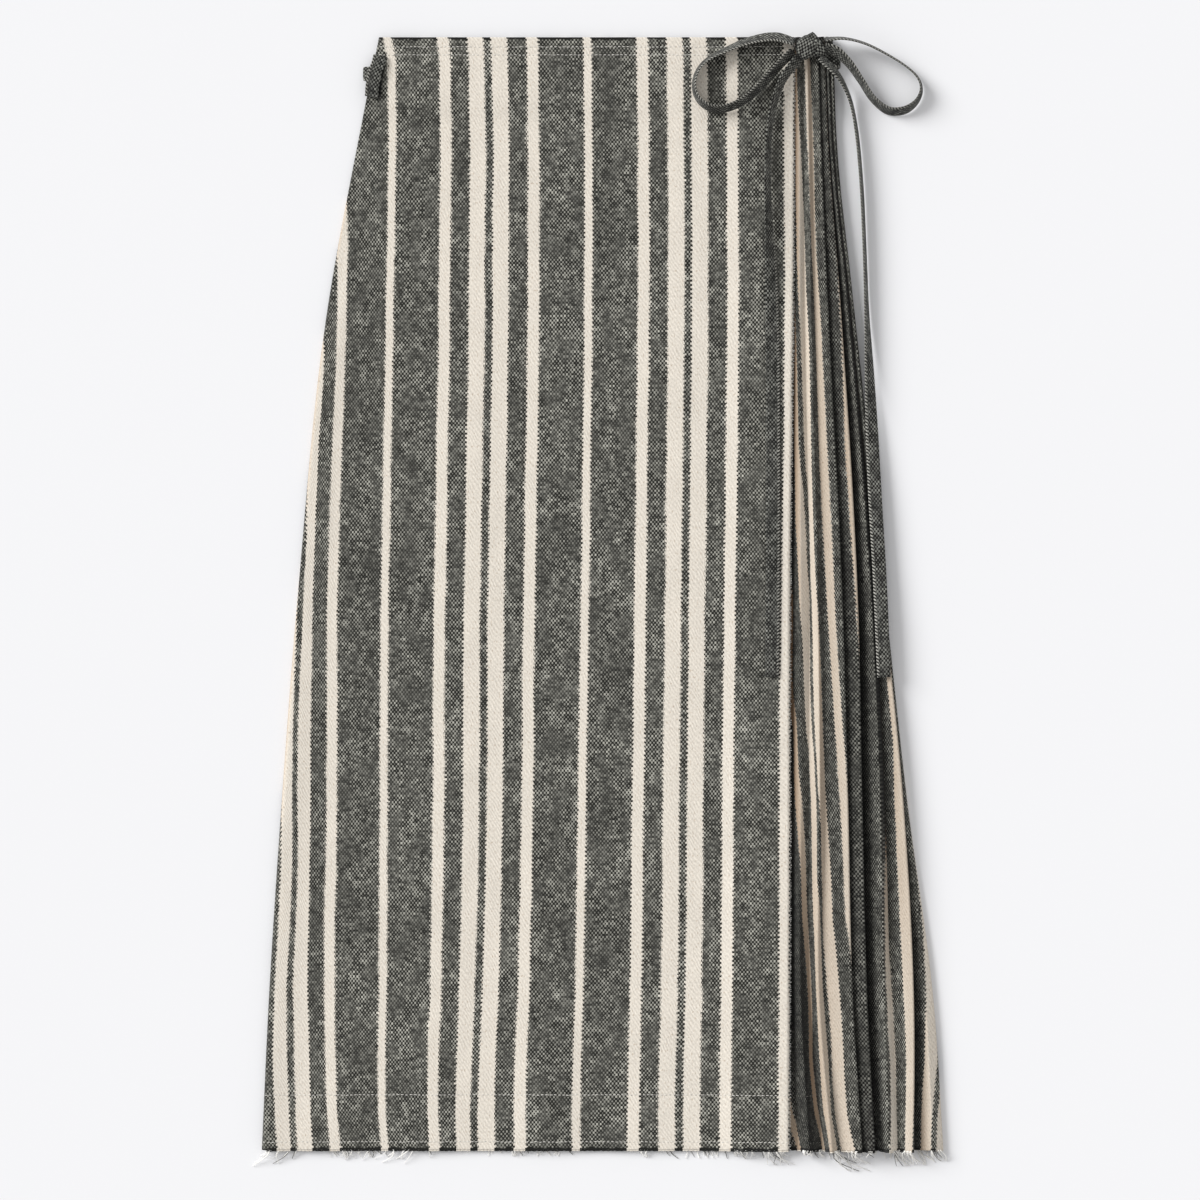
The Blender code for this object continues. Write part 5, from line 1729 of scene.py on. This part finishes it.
# %% Hem pieces
HEM_STEP = 0.4
EDGE_SIDES = 6
EDGE_HALF_WIDTH = 0.5
EDGE_HALF_HEIGHT = 0.45
EDGE_OUTSIDE = 0.55
# Two slow waves in the cord: reach, beat and start of each.
EDGE_WAVES = ((0.12, 1.7, 0.0), (0.1, 0.63, 1.0))
HEM_PALE_SHARE = 0.78
PLEATS_PAST_EDGE = 4.0


def edge_yarn(hem_line, stripes):
    """A tube round the hem's line: an oval square to the line, moved out by the sum of two sines."""
    across, lift = hem_line
    turn = round_turn(EDGE_SIDES)
    wobble = sum(reach * np.sin(across * beat + start) for reach, beat, start in EDGE_WAVES)
    slope = unit(np.stack([np.gradient(across), np.gradient(lift)], axis=1))
    out = EDGE_HALF_WIDTH * np.cos(turn)
    over = EDGE_HALF_HEIGHT * np.sin(turn)
    x = across[:, None] - slope[:, [1]] * over
    z = lift[:, None] + slope[:, [0]] * over
    points = place(x, -EDGE_OUTSIDE + wobble[:, None] + out, z)
    stripe_places = np.stack(np.broadcast_arrays(stripes[:, None], 0 * out), axis=-1)
    return points, tube_faces(len(across), EDGE_SIDES), stripe_places.reshape(-1, 2)


def fine_hem(section, stripes, columns):
    """The hem's line in steps of HEM_STEP of cloth: across, lift and stripe place."""
    length = run_length(*section)[0][columns]
    fine = np.arange(length[0], length[-1], HEM_STEP)
    return [np.interp(fine, length, row[0][columns]) for row in (*section, stripes)]


def fray_piece(node, section, stripes, columns, thread_rows, seed):
    """The edge yarn and the loose threads of one hem, as one piece that replaces the solid."""
    generator = np.random.default_rng(seed)
    *hem_line, hem_stripes = fine_hem(section, stripes, columns)
    edge = edge_yarn(hem_line, hem_stripes)
    lines, radii = hem_threads(hem_line, thread_rows, generator)
    threads = yarn_tubes(lines, radii)
    marks = np.where(generator.random(len(lines)) < HEM_PALE_SHARE, 1, 2)
    face_marks = np.concatenate([np.zeros(len(edge[1]), int), faces_of_yarns(marks)])
    points, faces, places = joined([edge, (*threads, np.zeros((len(threads[0]), 2)))])
    materials = [striped_cloth, pale_yarn, grey_yarn]
    piece = new_piece(f"{node}_yarns", points, faces, materials, places, face_marks)
    dress(piece, node)
    print(piece.name, "has", len(lines), "loose threads")
    return piece


front_top = slice(ARC_POINTS + 1, None)
pleats_shown = slice(int(np.argmax(pleats[0][0] > FRONT_EDGE[0] + PLEATS_PAST_EDGE)), None)
back_shown = slice(1, -2)
fray_front = fray_piece("fray_front", front, front_map, front_top, FRONT_THREADS, seed=21)
fray_pleats = fray_piece("fray_pleats", pleats, pleat_map, pleats_shown, PLEAT_THREADS, seed=22)
fray_back = fray_piece("fray_back", back, back_map, back_shown, BACK_THREADS, seed=23)

# %% [markdown]
# The overlap's raw edge: short weft ends, about one to a millimetre, most of them pale, because the
# edge was cut along a thin ivory stripe.

# %% Raw edge of the overlap
EDGE_YARN_STEP = 0.95
EDGE_MARGIN = 1.0
WEFT_REACH = (0.4, 1.5)
WEFT_INSIDE = 0.5
WEFT_BEND = 0.5
WEFT_DROOP = 0.5
WEFT_STRAY = 0.2
WEFT_RADII = (0.16, 0.3)
EDGE_PALE_SHARE = 0.85


def raw_edge(generator):
    """Middle lines of the weft ends: they leave the edge sideways, droop with t^2 and bend up or
    down the edge."""
    up = np.arange(EDGE_MARGIN, SKIRT_LENGTH - EDGE_MARGIN, EDGE_YARN_STEP)
    count = len(up)
    edge = station_curve(FRONT_EDGE, up)
    lift = front_lift(edge, up)
    reach = generator.uniform(*WEFT_REACH, (count, 1))
    t = np.linspace(0.0, 1.0, YARN_RINGS)[None, :]
    across = edge[:, None] - WEFT_INSIDE + (reach + WEFT_INSIDE) * t
    along = up[:, None] + generator.uniform(-WEFT_BEND, WEFT_BEND, (count, 1)) * t * reach
    droop = generator.uniform(0.0, WEFT_DROOP, (count, 1)) * t**2
    stray = generator.uniform(-WEFT_STRAY, WEFT_STRAY, (count, 1))
    lines = np.stack([across, along, lift[:, None] - droop + stray], axis=-1)
    return lines, generator.uniform(*WEFT_RADII, count)


generator = np.random.default_rng(31)
edge_lines, edge_radii = raw_edge(generator)
edge_points, edge_faces = yarn_tubes(edge_lines, edge_radii)
edge_marks = np.where(generator.random(len(edge_lines)) < EDGE_PALE_SHARE, 0, 1)
front_raw_edge = new_piece(
    "front_raw_edge", edge_points, edge_faces, [pale_yarn, grey_yarn],
    face_materials=faces_of_yarns(edge_marks),
)
dress(front_raw_edge)
print("raw edge:", len(edge_lines), "weft ends")

# %% [markdown]
# ## The pieces
# The panels flare from waist to hem, and each tie's strip is folded lengthwise.


print("declared", 3 + len(ties), "sheets")

# %% [markdown]
# ## Studio
# A plain pale floor, one large soft light from the upper left and a bright even room.  The camera
# looks straight down with a long lens, so that the skirt keeps its outline.

# %% Floor, light and camera
FRAME_WIDTH = 0.96
LENS = 100.0
SENSOR = 36.0
FLOOR_SIZE = 6.0
FLOOR_DROP = 0.05
FLOOR_COLOUR = (0.825, 0.825, 0.84)
KEY_ANGLE = 30.0
KEY_STRENGTH = 3.3
KEY_TURN = (-24.0, -58.0, 0.0)
ROOM_LIGHT = 0.61
CAMERA_UP = 0.002
CAMERA_RISE = 0.005


def floor_material():
    """Smooth pale paper with the faintest unevenness."""
    material, tree, shader = cloth_shader("floor_paper", 0.9, 0.0)
    spot = add(tree, "ShaderNodeTexCoord").outputs["Object"]
    cloud = add(tree, "ShaderNodeTexNoise", {"Vector": spot, "Scale": 1.5}).outputs[0]
    level = calc(tree, "MULTIPLY_ADD", cloud, 0.01, 0.995)
    tree.links.new(scale_colour(tree, FLOOR_COLOUR, level), shader.inputs["Base Color"])
    return material


def make_floor():
    """A flat sheet just under the skirt."""
    square = FLOOR_SIZE / 2 * np.array([(-1, -1), (1, -1), (1, 1), (-1, 1)])
    corners = np.column_stack([square, np.full(4, -FLOOR_DROP * MM)])
    return new_piece("floor", corners, [(0, 1, 2, 3)], [floor_material()])


floor = make_floor()

scene = bpy.context.scene
scene.view_settings.view_transform = "Standard"
room = bpy.data.worlds.new("room")
room.use_nodes = True
room_light = room.node_tree.nodes["Background"]
room_light.inputs["Color"].default_value = (1.0, 1.0, 1.0, 1.0)
room_light.inputs["Strength"].default_value = ROOM_LIGHT
scene.world = room

key = bpy.data.objects.new("key_light", bpy.data.lights.new("key_light", "SUN"))
key.data.energy = KEY_STRENGTH
key.data.angle = np.radians(KEY_ANGLE)
key.rotation_euler = np.radians(KEY_TURN)
scene.collection.objects.link(key)

camera = bpy.data.objects.new("camera", bpy.data.cameras.new("camera"))
camera.data.lens = LENS
camera.data.sensor_width = SENSOR
camera.location = (-MIDDLE_ACROSS * MM, CAMERA_UP, FRAME_WIDTH * LENS / SENSOR + CAMERA_RISE)
camera.data.clip_end = 50.0
scene.collection.objects.link(camera)
scene.camera = camera
print("camera at", tuple(round(value, 3) for value in camera.location))
